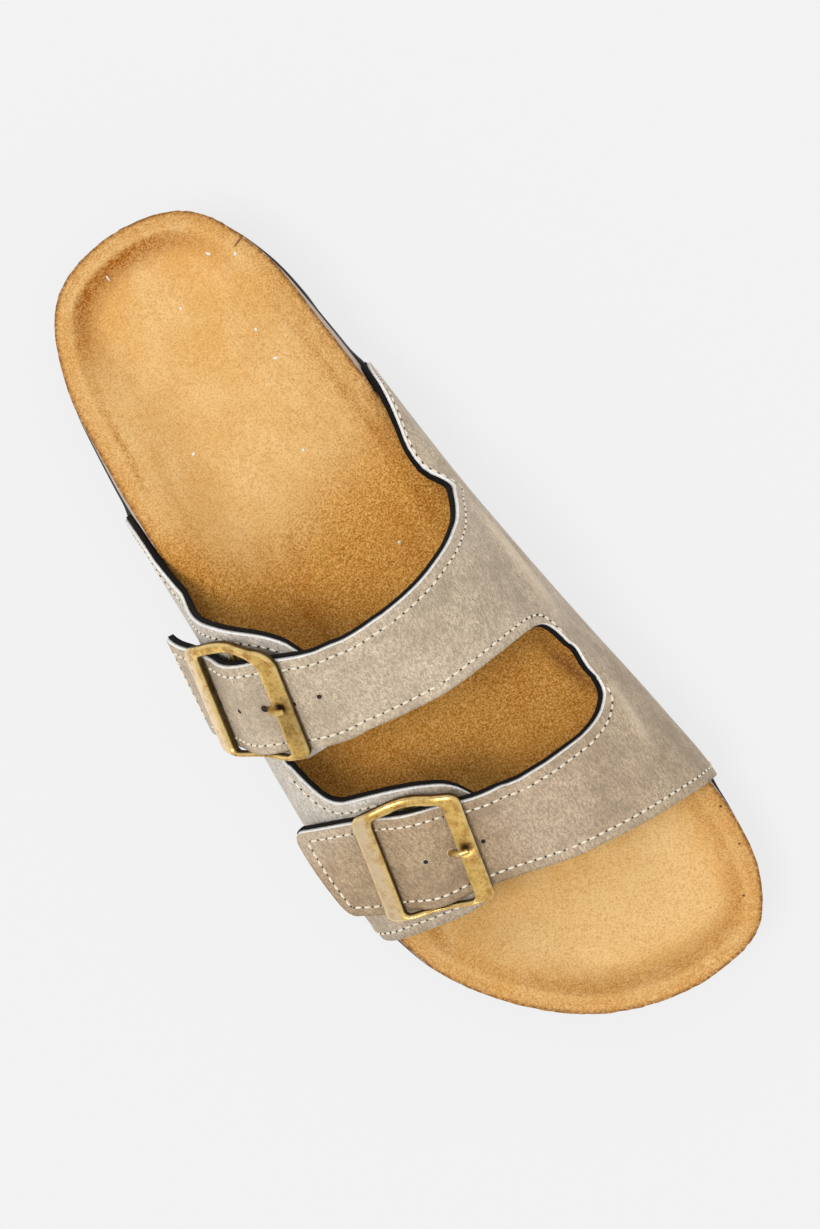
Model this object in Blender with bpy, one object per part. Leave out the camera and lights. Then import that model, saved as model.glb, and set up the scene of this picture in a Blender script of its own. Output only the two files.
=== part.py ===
"""Slip-on sandal for the right foot: two buckled straps over a cork footbed.

Across is +X to the lateral side, along is +Y to the toe, up is +Z.
Sizes are in millimetres and are scaled to metres where a mesh is made.
Stations are measured along the sole from the heel end of the footbed.
"""
import math

import bmesh
import bpy
import numpy as np
from mathutils import Vector

MM = 0.001

# Place of the shoe frame: the middle of the whole box, on the ground.
CENTRE_ACROSS = 0.23
CENTRE_STATION = 139.7

# Gaps and walls.
GAP = 0.3
WALL = 2.6
OVERLAP = 0.5
INSOLE_THICK = 1.6


class Table:
    """Smooth curves through the rows of a short table; the first column is the key."""

    def __init__(self, columns, rows):
        self.columns = columns
        self.rows = np.array(rows, dtype=float)

    def at(self, name, key):
        """Value of a column at a key, without overshoot between rows."""
        keys = self.rows[:, 0]
        values = self.rows[:, self.columns.index(name)]
        key = float(np.clip(key, keys[0], keys[-1]))
        steps = np.diff(keys)
        slopes = np.diff(values) / steps
        row = int(np.clip(np.searchsorted(keys, key) - 1, 0, len(steps) - 1))
        start = self.tangent(row, steps, slopes)
        end = self.tangent(row + 1, steps, slopes)
        t = (key - keys[row]) / steps[row]
        rise = values[row + 1] - values[row]
        bend = (start * (1 - t) ** 2 * t - end * t ** 2 * (1 - t)) * steps[row]
        return values[row] + rise * t * t * (3 - 2 * t) + bend

    @staticmethod
    def tangent(row, steps, slopes):
        """Slope at a row: the weighted harmonic mean of its two sides."""
        if row == 0:
            return slopes[0]
        if row == len(slopes):
            return slopes[-1]
        before, after = slopes[row - 1], slopes[row]
        if before * after <= 0:
            return 0.0
        near = 2 * steps[row] + steps[row - 1]
        far = steps[row] + 2 * steps[row - 1]
        return (near + far) / (near / before + far / after)


# Edge of the footbed's top seen from above, lateral and medial of the heel's middle.
SOLE_EDGE = Table(("station", "lateral", "medial"), (
    (0, 0.0, 0.0),
    (3, 16.2, -16.8),
    (10, 25.7, -26.6),
    (30, 35.0, -35.2),
    (60, 39.1, -37.7),
    (100, 41.6, -39.8),
    (140, 45.4, -43.6),
    (180, 49.0, -48.2),
    (196, 49.8, -50.3),
    (210, 49.5, -51.9),
    (230, 45.6, -53.8),
    (245, 37.8, -54.0),
    (260, 25.3, -51.6),
    (270, 12.6, -46.6),
    (277, -3.0, -39.4),
    (280, -21.0, -21.0),
))

# Heights along the sole: its underside, top of the outsole, middle of the seat, top of the rim;
# how far its side flares from the rim to the ground.
SOLE_HEIGHT = Table(("station", "under", "deck", "seat", "rim", "flare"), (
    (0, 2.5, 10.5, 31.0, 36.5, 1.0),
    (14, 0.0, 10.0, 29.8, 37.5, 1.1),
    (40, 0.0, 10.0, 29.0, 37.5, 1.6),
    (62, 0.0, 10.0, 28.5, 37.5, 2.4),
    (90, 0.0, 10.0, 28.2, 37.0, 2.4),
    (130, 2.5, 11.0, 26.5, 35.0, 1.4),
    (165, 0.0, 9.0, 23.0, 31.0, 1.3),
    (195, 0.0, 8.0, 21.0, 27.5, 1.3),
    (222, 0.0, 8.0, 20.0, 25.5, 1.3),
    (245, 1.6, 9.1, 20.6, 26.0, 0.9),
    (265, 4.8, 11.8, 23.0, 28.0, 0.6),
    (280, 9.0, 15.5, 26.5, 31.0, 0.6),
))

# How far the outsole's edge stands out past the footbed's side; it carries the upper's wall.
LEDGE = Table(("station", "lateral", "medial"), (
    (0, 0.4, 0.4),
    (20, 0.4, 0.7),
    (44, 0.4, 0.7),
    (52, 0.4, 0.3),
    (64, 0.5, 0.3),
    (76, 2.6, 2.0),
    (84, 2.6, 2.6),
    (206, 2.6, 2.6),
    (218, 0.6, 2.6),
    (226, 0.4, 2.4),
    (238, 0.4, 0.5),
    (252, 0.2, 0.1),
    (280, 0.2, 0.2),
))
HEEL_SPINE = 34.0
TOE_SPINE = 246.0
TOE_SPINE_ACROSS = -14.0
RIM_FLAT = 4.0
RIM_FALL = 10.0
EDGE_ROUND = 0.8
ARCH_RISE = 5.0
ARCH_MIDDLE = 118.0
ARCH_REACH = 55.0
RING_INSETS = (0.0, 1.6, 4.5, 7.5, 11.0, 15.0)
RING_BLENDS = (0.35, 0.7)
LOOP_POINTS = 66

# The arch over the foot: place and height of its crest, and radius of its lateral half.
ARCH = Table(("station", "crest_across", "crest_height", "radius"), (
    (60, 0.0, 96.0, 54.0),
    (100, -1.0, 94.0, 51.5),
    (120, -2.0, 91.0, 50.6),
    (136, -3.0, 86.5, 54.2),
    (152, -4.0, 81.5, 63.0),
    (167, -5.5, 76.0, 71.5),
    (182, -7.0, 70.5, 79.5),
    (197, -8.0, 65.5, 86.0),
    (212, -8.5, 61.7, 89.0),
    (235, -9.0, 57.0, 91.0),
))

# How far the wings of the upper behind the straps lean in over the sole, at a height above its rim.
WING = Table(("station", "medial", "lateral"), (
    (68, 0.0, 0.0),
    (78, 0.5, 1.2),
    (86, 1.7, 2.0),
    (94, 3.4, 1.9),
    (101, 4.6, 1.6),
    (107, 4.4, 1.1),
    (111.5, 3.2, 0.6),
    (115, 1.4, 0.2),
    (119, 0.0, 0.0),
))
WING_RISE = 8.0
WING_MOST = 1.3
WING_BEND = 1.2
SIDE_FULL = 0.52
TOP_FULL = 0.56
SIDE_LEAN = 0.10
SHOULDER = 14.0

# Edges of the strap panel on the medial half: girth runs from the sole (0) to the crest (1).
PANEL = Table(("girth", "rear", "back_inner", "front_inner", "front"), (
    (0.00, 73.0, 174.5, 187.5, 232.0),
    (0.10, 74.0, 174.5, 187.5, 232.3),
    (0.20, 76.5, 174.5, 187.5, 232.3),
    (0.26, 81.0, 174.5, 187.5, 232.2),
    (0.30, 89.5, 174.5, 187.5, 232.1),
    (0.325, 101.0, 174.5, 187.5, 232.0),
    (0.345, 113.5, 174.5, 187.5, 231.9),
    (0.36, 117.3, 174.5, 187.5, 231.9),
    (0.43, 120.0, 174.5, 187.5, 231.5),
    (0.51, 124.3, 174.5, 187.5, 230.9),
    (0.52, 124.8, 170.4, 190.2, 230.8),
    (0.54, 125.8, 167.0, 192.6, 230.7),
    (0.57, 127.2, 165.3, 194.3, 230.4),
    (0.62, 128.9, 164.5, 196.3, 230.0),
    (0.68, 130.9, 164.3, 197.6, 229.5),
    (0.75, 132.8, 164.4, 198.3, 228.8),
    (0.88, 135.7, 164.6, 198.3, 227.1),
    (0.95, 136.5, 164.7, 197.9, 226.1),
    (1.00, 136.8, 164.6, 197.6, 225.3),
))
PANEL_FORK = 0.51

# Straps past the crest: swing in degrees round the arch, middle station, half width.
BACK_STRAP = Table(("swing", "station", "half"), (
    (0, 150.7, 13.9),
    (8, 150.0, 13.7),
    (14, 149.2, 13.7),
    (20, 147.8, 13.8),
    (27, 146.4, 14.4),
    (38, 142.2, 14.7),
    (52, 136.4, 14.5),
    (66, 131.2, 15.0),
    (80, 124.0, 14.9),
    (90, 117.8, 16.0),
))
FRONT_STRAP = Table(("swing", "station", "half"), (
    (0, 211.45, 13.85),
    (4, 209.75, 13.55),
    (8, 207.7, 13.4),
    (14, 204.75, 13.75),
    (19, 202.1, 14.6),
    (23.5, 199.75, 15.1),
    (34, 194.6, 15.1),
    (48.5, 186.9, 14.2),
))
CREST_EASE = 14.0

# Edges of the lateral quarter: girth runs from the sole (0) to the crest (1). Its two tabs have
# rounded ends, and a narrower tongue of each runs on under the strap.
QUARTER = Table(("girth", "rear", "back_inner", "front_inner", "front"), (
    (0.00, 70.0, 154.4, 157.6, 213.5),
    (0.10, 74.0, 154.4, 157.6, 213.8),
    (0.20, 80.0, 154.4, 157.6, 214.4),
    (0.26, 88.0, 154.4, 157.6, 215.3),
    (0.31, 96.0, 154.4, 157.6, 216.3),
    (0.37, 101.8, 154.4, 157.6, 217.6),
    (0.44, 105.9, 154.4, 157.6, 218.8),
    (0.472, 107.6, 154.4, 157.6, 219.4),
    (0.480, 108.0, 154.7, 161.6, 219.6),
    (0.488, 108.4, 155.0, 166.2, 219.7),
    (0.498, 108.9, 155.5, 170.0, 219.9),
    (0.513, 109.7, 156.1, 172.6, 220.1),
    (0.540, 111.1, 157.2, 174.6, 220.5),
    (0.565, 112.5, 158.0, 175.4, 220.9),
    (0.63, 117.0, 158.2, 177.5, 221.6),
    (0.69, 121.7, 155.5, 179.7, 221.4),
    (0.725, 125.6, 153.8, 181.2, 219.5),
    (0.745, 128.9, 153.0, 182.1, 218.3),
    (0.757, 132.8, 152.5, 182.7, 217.6),
    (0.775, 137.5, 152.0, 183.7, 216.6),
    (0.82, 140.5, 151.0, 186.6, 214.4),
    (0.848, 142.0, 150.5, 190.0, 213.2),
    (0.862, 142.6, 150.2, 193.2, 212.6),
    (0.88, 143.5, 149.8, 197.0, 211.8),
    (0.95, 145.0, 148.5, 200.0, 209.5),
))
QUARTER_FORK = 0.472
BACK_TAB_END = 0.90
FRONT_TAB_END = 0.95

# Grid of the panels: columns of a strap, columns of the gap, rows below and above the fork.
STRAP_COLUMNS = 6
GAP_COLUMNS = 4
BASE_GIRTHS = (0.0, 0.08, 0.15, 0.21, 0.26, 0.29, 0.31, 0.325, 0.335, 0.345, 0.36, 0.40, 0.46)
LEG_GIRTHS = (0.52, 0.54, 0.57, 0.62, 0.68, 0.75, 0.83, 0.91, 1.0)
SWING_ROWS = 18
TIP_NARROW = 0.90
QUARTER_GIRTHS = (0.0, 0.08, 0.15, 0.21, 0.26, 0.31, 0.37, 0.43)
BACK_TAB_GIRTHS = (0.488, 0.513, 0.55, 0.60, 0.65, 0.69, 0.725, 0.745, 0.757, 0.775, 0.83)
FRONT_TAB_GIRTHS = (0.480, 0.488, 0.498, 0.513, 0.56, 0.62, 0.68, 0.73, 0.78, 0.82, 0.848, 0.862, 0.88)
FORK_BOW = 0.006

# Buckle frames: swing and shift of each; sizes along the strap, across it, and out from the arch.
BACK_SEAT = 52.0
FRONT_SEAT = 22.8
BACK_SHIFT = -1.1
FRONT_SHIFT = -0.55
BUCKLE_LONG = 30.8
BUCKLE_WIDE = 34.2
SIDE_BAR = 5.4
REAR_BAR = 3.2
FRONT_BAR = 1.5
BAR_THICK = 2.8
BAR_BEVEL = 0.7
BACK_BOW = 3.6
REAR_BOW = 2.6
FRONT_BOW = 0.5
OUTER_CORNER = 2.4
BACK_CORNER = 4.2
CORNER_STEP = 1.0
CORNER_STEPS = 4
BAR_STEPS = 8
SEAT_OUT = 5.5
END_DIP = 2.2
DIP_FROM = 8.0
DIP_INSET = 0.8
DIP_BEND = 1.6
BAR_RADIUS = 1.25
BAR_PATH = ((-1.0, 3.9), (-0.92, 3.4), (-0.85, 2.6), (0.0, 2.6), (0.95, 2.6), (1.0, 2.9))

# The strap by its buckle: lift under the side bars, hump over the centre bar, reach of both,
# and how far the free tip stands off, twists at its rear corner and is cut back along its front edge.
BED_LIFT = 2.3
BED_REACH = 17.5
BED_EASE = 15.0
HUMP_RISE = 2.2
HUMP_REACH = 10.0
BACK_FLARE = 1.2
BACK_TWIST = 2.2
FRONT_FLARE = 0.8
BACK_SLANT = 2.5
FRONT_SLANT = 8.0

# Path of the prong: along the strap from the centre bar, and out from the arch.
PRONG_PATH = Table(("step", "along", "out"), (
    (0, 1.9, 2.9),
    (1, 4.2, 3.3),
    (2, 6.4, 4.1),
    (3, 8.0, 5.6),
    (4, 9.3, 7.3),
    (5, 10.8, 7.9),
    (6, 12.9, 7.8),
))
PRONG_RADIUS = 0.95
PRONG_CLEAR = 0.35
PRONG_STEPS = 10


class Strap:
    """One strap past the crest, with the place of its buckle."""

    def __init__(self, rows, buckle_swing, buckle_shift, rear_bow, rear_corner, tip):
        self.rows = rows
        self.buckle_swing = buckle_swing
        self.buckle_shift = buckle_shift
        self.rear_bow = rear_bow
        self.tip_swing = rows.rows[-1, 0]
        self.rear_corner = rear_corner
        self.tip_flare, self.tip_twist, self.tip_slant = tip
        self.seat = None
        self.runs = None


BACK = Strap(BACK_STRAP, BACK_SEAT, BACK_SHIFT, BACK_BOW, BACK_CORNER,
             (BACK_FLARE, BACK_TWIST, BACK_SLANT))
FRONT = Strap(FRONT_STRAP, FRONT_SEAT, FRONT_SHIFT, REAR_BOW, OUTER_CORNER,
              (FRONT_FLARE, 0.0, FRONT_SLANT))


def blend(value):
    """Soft step from 0 to 1."""
    value = min(max(value, 0.0), 1.0)
    return value * value * (3.0 - 2.0 * value)


def sole_loop(count):
    """Points round the footbed's edge with their outward directions, evenly spaced."""
    rows = SOLE_EDGE.rows
    lateral = [(row[1], row[0]) for row in rows]
    medial = [(row[2], row[0]) for row in rows[-2:0:-1]]
    knots = np.array(lateral + medial)
    fine = []
    for index in range(len(knots)):
        p0, p1, p2, p3 = (knots[(index + shift) % len(knots)] for shift in (-1, 0, 1, 2))
        k01, k12, k23 = (np.linalg.norm(b - a) ** 0.5 for a, b in ((p0, p1), (p1, p2), (p2, p3)))
        m1 = (p2 - p1) + k12 * ((p1 - p0) / k01 - (p2 - p0) / (k01 + k12))
        m2 = (p2 - p1) + k12 * ((p3 - p2) / k23 - (p3 - p1) / (k12 + k23))
        for t in np.linspace(0.0, 1.0, 24, endpoint=False):
            a = 2 * t ** 3 - 3 * t ** 2 + 1
            b = t ** 3 - 2 * t ** 2 + t
            c = 3 * t ** 2 - 2 * t ** 3
            d = t ** 3 - t ** 2
            fine.append(a * p1 + b * m1 + c * p2 + d * m2)
    fine = np.array(fine)
    closed = np.vstack([fine, fine[:1]])
    length = np.concatenate([[0.0], np.cumsum(np.linalg.norm(np.diff(closed, axis=0), axis=1))])
    wanted = np.linspace(0.0, length[-1], count, endpoint=False)
    loop = np.stack([np.interp(wanted, length, closed[:, axis]) for axis in (0, 1)], axis=1)
    along = np.roll(loop, -1, axis=0) - np.roll(loop, 1, axis=0)
    outward = np.stack([along[:, 1], -along[:, 0]], axis=1)
    return loop, outward / np.linalg.norm(outward, axis=1)[:, None]


def side_outset(station, height):
    """How far the drafted side of the sole stands out from its top edge."""
    under = SOLE_HEIGHT.at("under", station)
    rim = SOLE_HEIGHT.at("rim", station)
    return SOLE_HEIGHT.at("flare", station) * (rim - height) / (rim - under)


def spine_point(station):
    """Nearest point of the line that runs inside the sole from the heel to the toes."""
    part = min(max((station - HEEL_SPINE) / (TOE_SPINE - HEEL_SPINE), 0.0), 1.0)
    return np.array([TOE_SPINE_ACROSS * part * part, HEEL_SPINE + part * (TOE_SPINE - HEEL_SPINE)])


def foot_height(across, station, inset):
    """Top of the insole: raised rim, rounded edge, heel cup and medial arch."""
    rim = SOLE_HEIGHT.at("rim", station)
    seat = SOLE_HEIGHT.at("seat", station)
    swell = max(0.0, 1.0 - ((station - ARCH_MIDDLE) / ARCH_REACH) ** 2)
    seat += ARCH_RISE * swell * blend((-across - 4.0) / 34.0)
    edge = max(0.0, 1.0 - inset / RING_INSETS[2])
    return rim + (seat - rim) * blend((inset - RIM_FLAT) / RIM_FALL) - EDGE_ROUND * edge * edge


def sole_rings():
    """Rings of (across, station, inset) from the edge to near the middle of the sole."""
    loop, outward = sole_loop(LOOP_POINTS)
    rings = []
    for inset in RING_INSETS:
        rings.append([(*(point - normal * inset), inset)
                      for point, normal in zip(loop, outward)])
    last = rings[-1]
    for share in RING_BLENDS:
        ring = []
        for across, station, inset in last:
            middle = spine_point(station)
            place = np.array([across, station]) * (1 - share) + middle * share
            ring.append((place[0], place[1], inset + 10.0 * share))
        rings.append(ring)
    return rings


def join_rings(bm, rings, cap_first, cap_last):
    """Faces between closed rings of points, with the first and last ring closed on request."""
    layers = [[bm.verts.new(Vector(point) * MM) for point in ring] for ring in rings]
    count = len(layers[0])
    for lower, upper in zip(layers, layers[1:]):
        for i in range(count):
            j = (i + 1) % count
            bm.faces.new((lower[i], lower[j], upper[j], upper[i]))
    if cap_first:
        bm.faces.new(layers[0][::-1])
    if cap_last:
        bm.faces.new(layers[-1])


def finish_mesh(name, bm, material, triangulate):
    """Object from a mesh, with faces out, in the shoe frame."""
    if triangulate:
        bmesh.ops.triangulate(bm, faces=bm.faces[:])
    bmesh.ops.recalc_face_normals(bm, faces=bm.faces[:])
    shift = Vector((-CENTRE_ACROSS * MM, -CENTRE_STATION * MM, 0.0))
    bmesh.ops.translate(bm, verts=bm.verts[:], vec=shift)
    mesh = bpy.data.meshes.new(name)
    bm.to_mesh(mesh)
    bm.free()
    mesh.materials.append(material)
    for face in mesh.polygons:
        face.use_smooth = True
    thing = bpy.data.objects.new(name, mesh)
    bpy.context.scene.collection.objects.link(thing)
    return thing


def make_material(name, colour, roughness, metallic):
    """Plain surface of one colour."""
    material = bpy.data.materials.new(name)
    material.use_nodes = True
    shader = material.node_tree.nodes["Principled BSDF"]
    shader.inputs["Base Color"].default_value = (*colour, 1.0)
    shader.inputs["Roughness"].default_value = roughness
    shader.inputs["Metallic"].default_value = metallic
    material.diffuse_color = (*colour, 1.0)
    return material


def make_insole(material):
    """Sock over the footbed, out to its edge."""
    rings = sole_rings()
    top = [[(a, s, foot_height(a, s, inset)) for a, s, inset in ring] for ring in rings]
    low = [[(a, s, foot_height(a, s, inset) - INSOLE_THICK) for a, s, inset in ring] for ring in rings]
    bm = bmesh.new()
    join_rings(bm, low[::-1] + top, True, True)
    return finish_mesh("insole", bm, material, True)


def make_footbed(material):
    """Cork block under the insole: dished top, drafted side, flat against the outsole."""
    rings = sole_rings()
    drop = INSOLE_THICK + GAP
    top = [[(a, s, foot_height(a, s, inset) - drop) for a, s, inset in ring] for ring in rings]
    loop, outward = sole_loop(LOOP_POINTS)
    sides = []
    for share in (0.0, 0.35, 0.7):
        ring = []
        for point, normal in zip(loop, outward):
            base = SOLE_HEIGHT.at("deck", point[1]) + GAP
            height = base + share * (SOLE_HEIGHT.at("rim", point[1]) - drop - EDGE_ROUND - base)
            place = point + normal * side_outset(point[1], height)
            ring.append((place[0], place[1], height))
        sides.append(ring)
    floor = []
    for ring in (rings[-1], rings[5], rings[2]):
        floor.append([(a, s, SOLE_HEIGHT.at("deck", s) + GAP) for a, s, inset in ring])
    bm = bmesh.new()
    join_rings(bm, floor + sides + top, True, True)
    return finish_mesh("footbed", bm, material, True)


def make_outsole(material):
    """Sole sheet with flat heel and forefoot, arch, toe spring and a drafted edge."""
    loop, outward = sole_loop(LOOP_POINTS)
    rings = sole_rings()
    inner = [rings[2], rings[5], rings[-1]]

    def ring(extra, share):
        points = []
        for point, normal in zip(loop, outward):
            under = SOLE_HEIGHT.at("under", point[1])
            height = under + share * (SOLE_HEIGHT.at("deck", point[1]) - under)
            ledge = LEDGE.at("lateral" if normal[0] > 0 else "medial", point[1])
            place = point + normal * (side_outset(point[1], height) + ledge + extra)
            points.append((place[0], place[1], height))
        return points

    under = [[(a, s, SOLE_HEIGHT.at("under", s)) for a, s, inset in part] for part in inner[::-1]]
    deck = [[(a, s, SOLE_HEIGHT.at("deck", s)) for a, s, inset in part] for part in inner]
    bm = bmesh.new()
    join_rings(bm, under + [ring(-1.2, 0.0), ring(0.0, 0.16), ring(0.0, 0.9), ring(-0.6, 1.0)] + deck,
               True, True)
    return finish_mesh("outsole", bm, material, True)


def trace(points, share):
    """Point at a share of the length of a line through points."""
    points = np.array(points)
    length = np.concatenate([[0.0], np.cumsum(np.linalg.norm(np.diff(points, axis=0), axis=1))])
    wanted = share * length[-1]
    return [float(np.interp(wanted, length, points[:, axis])) for axis in range(points.shape[1])]


def bezier(p0, p1, p2, p3, steps):
    """Points on a cubic curve."""
    t = np.linspace(0.0, 1.0, steps)[:, None]
    p0, p1, p2, p3 = (np.array(p, dtype=float) for p in (p0, p1, p2, p3))
    return (1 - t) ** 3 * p0 + 3 * (1 - t) ** 2 * t * p1 + 3 * (1 - t) * t ** 2 * p2 + t ** 3 * p3


def wing_lean(side, station, above):
    """How far a wing leans in at a height above the rim."""
    share = min(max(above / WING_RISE, 0.0), WING_MOST)
    return WING.at(side, station) * share ** WING_BEND


def medial_point(girth, station):
    """Inner face of the upper's medial half, from the sole (0) to the crest (1)."""
    edge = SOLE_EDGE.at("medial", station) - GAP
    base = SOLE_HEIGHT.at("deck", station) + GAP
    rim = SOLE_HEIGHT.at("rim", station)
    crest = (ARCH.at("crest_across", station), ARCH.at("crest_height", station))
    rise = crest[1] - rim
    foot = (edge - side_outset(station, base), base)
    side = (edge + SIDE_LEAN * SIDE_FULL * rise, rim + SIDE_FULL * rise)
    top = (crest[0] + TOP_FULL * (edge - crest[0]), crest[1])
    line = np.vstack([[foot], bezier((edge, rim), side, top, crest, 40)])
    across, height = trace(line, girth)
    return Vector((across + wing_lean("medial", station, height - rim), station, height))


def swing_point(swing, station, lift):
    """Inner face of a strap past the crest, lifted outward."""
    angle = math.radians(swing)
    radius = ARCH.at("radius", station)
    across = ARCH.at("crest_across", station) + (radius + lift) * math.sin(angle)
    height = ARCH.at("crest_height", station) - radius + (radius + lift) * math.cos(angle)
    return Vector((across, station, height))


def quarter_point(girth, station):
    """Inner face of the lateral quarter: up the sole's side, round the shoulder, to the crest."""
    edge = SOLE_EDGE.at("lateral", station) + GAP
    base = SOLE_HEIGHT.at("deck", station) + GAP
    rim = SOLE_HEIGHT.at("rim", station)
    middle = ARCH.at("crest_across", station)
    radius = ARCH.at("radius", station) + OVERLAP - WALL
    centre = ARCH.at("crest_height", station) - ARCH.at("radius", station)
    corner = math.asin(min(0.985, (edge - middle) / radius))
    top = centre + radius * math.cos(corner)
    turn = min(SHOULDER, 0.8 * (top - rim))
    after = corner - turn / radius
    start = (edge, top - turn)
    end = (middle + radius * math.sin(after), centre + radius * math.cos(after))
    line = [(edge + side_outset(station, base), base), (edge, rim)]
    line.extend(bezier(start, (edge, top - 0.35 * turn),
                       (end[0] + 0.65 * turn * math.cos(after), end[1] - 0.65 * turn * math.sin(after)),
                       end, 14))
    for angle in np.linspace(after, 0.0, 24)[1:]:
        line.append((middle + radius * math.sin(angle), centre + radius * math.cos(angle)))
    across, height = trace(line, girth)
    return Vector((across - wing_lean("lateral", station, height - rim), station, height))


def strap_middle(strap, swing):
    """Point on the middle line of a strap, on the arch."""
    return swing_point(swing, strap.rows.at("station", swing), 0.0)


def arch_point(strap, swing, across):
    """Point of a strap on the arch, on a row square to its middle line; across is -1 to 1."""
    station = strap.rows.at("station", swing)
    middle = swing_point(swing, station, 0.0)
    run = strap_middle(strap, swing + 1.0) - strap_middle(strap, swing - 1.0)
    round_arch = swing_point(swing + 1.0, station, 0.0) - swing_point(swing - 1.0, station, 0.0)
    along_sole = swing_point(swing, station + 1.0, 0.0) - swing_point(swing, station - 1.0, 0.0)
    turn = -along_sole.dot(run) / round_arch.dot(run) * blend(swing / CREST_EASE)
    half = strap.rows.at("half", swing)
    side = math.copysign(half, across)
    full = (swing_point(swing + turn * side, station + side, 0.0) - middle).length
    stretch = 1.0 + (half / full - 1.0) * blend(swing / CREST_EASE)
    step = half * across * stretch
    return swing_point(swing + turn * step, station + step, 0.0)


def seat_strap(strap):
    """Find a strap's buckle seat (middle, axes along, across and out, bend) and its run lengths."""
    swing = strap.buckle_swing
    middle = strap_middle(strap, swing)
    along = strap_middle(strap, swing - 4.0) - strap_middle(strap, swing + 4.0)
    along.normalize()
    across = arch_point(strap, swing, 0.9) - arch_point(strap, swing, -0.9)
    across -= along * across.dot(along)
    across.normalize()
    out = across.cross(along)
    if out.z < 0:
        out = -out
    chord = (strap_middle(strap, swing - 10.0) - strap_middle(strap, swing + 10.0)).length
    sag = (middle - (strap_middle(strap, swing - 10.0) + strap_middle(strap, swing + 10.0)) / 2).length
    strap.seat = (middle, along, across, out, chord * chord / (8 * sag))
    swings = np.linspace(-2.0, strap.tip_swing, 120)
    points = [strap_middle(strap, value) for value in swings]
    steps = [(b - a).length for a, b in zip(points, points[1:])]
    runs = np.concatenate([[0.0], np.cumsum(steps)])
    strap.runs = (swings, runs - np.interp(swing, swings, runs))


def on_seat(seat, along, across, out):
    """Point over a buckle's seat, bent with the strap."""
    middle, along_axis, across_axis, out_axis, bend = seat
    angle = along / bend
    reach = (bend + out) * math.sin(angle)
    rise = (bend + out) * math.cos(angle) - bend
    return middle + along_axis * reach + across_axis * across + out_axis * rise


def strap_point(strap, swing, across):
    """Inner face of a strap: on the arch, then on the buckle's seat out to the tip."""
    run = float(np.interp(swing, *strap.runs))
    near = 1.0 - blend((-run - BED_REACH) / BED_EASE)
    hump = math.cos(math.pi * min(1.0, abs(run) / HUMP_REACH) / 2) ** 2
    away = blend((run - BED_REACH) / (strap.runs[1][-1] - BED_REACH))
    flare = strap.tip_flare + strap.tip_twist * (0.5 - 0.5 * across)
    lift = BED_LIFT + HUMP_RISE * hump + flare * away
    half = strap.rows.at("half", swing)
    slant = strap.tip_slant * away * (0.5 + 0.5 * across) ** 1.6
    seated = on_seat(strap.seat, slant - run, half * across, lift)
    return seated * near + arch_point(strap, swing, across) * (1.0 - near)


def shell(name, grids, links, material):
    """Wall of real thickness raised outward from grids of inner-face points."""
    bm = bmesh.new()
    layers = [[[bm.verts.new(point * MM) for point in row] for row in grid] for grid in grids]
    for row_a, row_b in links:
        layers.append([[layers[g][r][c] for g, r, c in row_a], [layers[g][r][c] for g, r, c in row_b]])
    for grid in layers:
        for lower, upper in zip(grid, grid[1:]):
            for i in range(len(lower) - 1):
                bm.faces.new((lower[i], lower[i + 1], upper[i + 1], upper[i]))
    bmesh.ops.recalc_face_normals(bm, faces=bm.faces[:])
    highest = max(bm.faces, key=lambda face: face.calc_center_median().z)
    if highest.normal.z < 0:
        bmesh.ops.reverse_faces(bm, faces=bm.faces[:])
    shift = Vector((-CENTRE_ACROSS * MM, -CENTRE_STATION * MM, 0.0))
    bmesh.ops.translate(bm, verts=bm.verts[:], vec=shift)
    mesh = bpy.data.meshes.new(name)
    bm.to_mesh(mesh)
    bm.free()
    mesh.materials.append(material)
    for face in mesh.polygons:
        face.use_smooth = True
    thing = bpy.data.objects.new(name, mesh)
    bpy.context.scene.collection.objects.link(thing)
    wall = thing.modifiers.new("wall", "SOLIDIFY")
    wall.thickness = WALL * MM
    wall.offset = 1.0
    wall.use_even_offset = True
    return thing


def spread(start, end, columns):
    """Evenly spaced values from start to end."""
    return list(np.linspace(start, end, columns + 1))


def fork_links(last):
    """Pairs of rows that join the last row of the base grid (0) to the two legs (1 and 2)."""
    columns = range(STRAP_COLUMNS + 1)
    offset = STRAP_COLUMNS + GAP_COLUMNS
    back = ([(0, last, c) for c in columns], [(1, 0, c) for c in columns])
    front = ([(0, last, offset + c) for c in columns], [(2, 0, c) for c in columns])
    return [back, front]


def base_rows(edges, girths, point):
    """Rows of a panel below its fork; the end of the gap is slightly hollow."""
    rows = []
    for girth in girths:
        marks = [edges.at(name, girth) for name in edges.columns[1:]]
        row = [(station, 0.0) for station in spread(marks[0], marks[1], STRAP_COLUMNS)]
        for step, station in enumerate(spread(marks[1], marks[2], GAP_COLUMNS)[1:], 1):
            row.append((station, math.sin(math.pi * step / GAP_COLUMNS)))
        row += [(station, 0.0) for station in spread(marks[2], marks[3], STRAP_COLUMNS)[1:]]
        bow = FORK_BOW * (girth / girths[-1]) ** 4
        rows.append([point(girth - bow * hollow, station) for station, hollow in row])
    return rows


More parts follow.
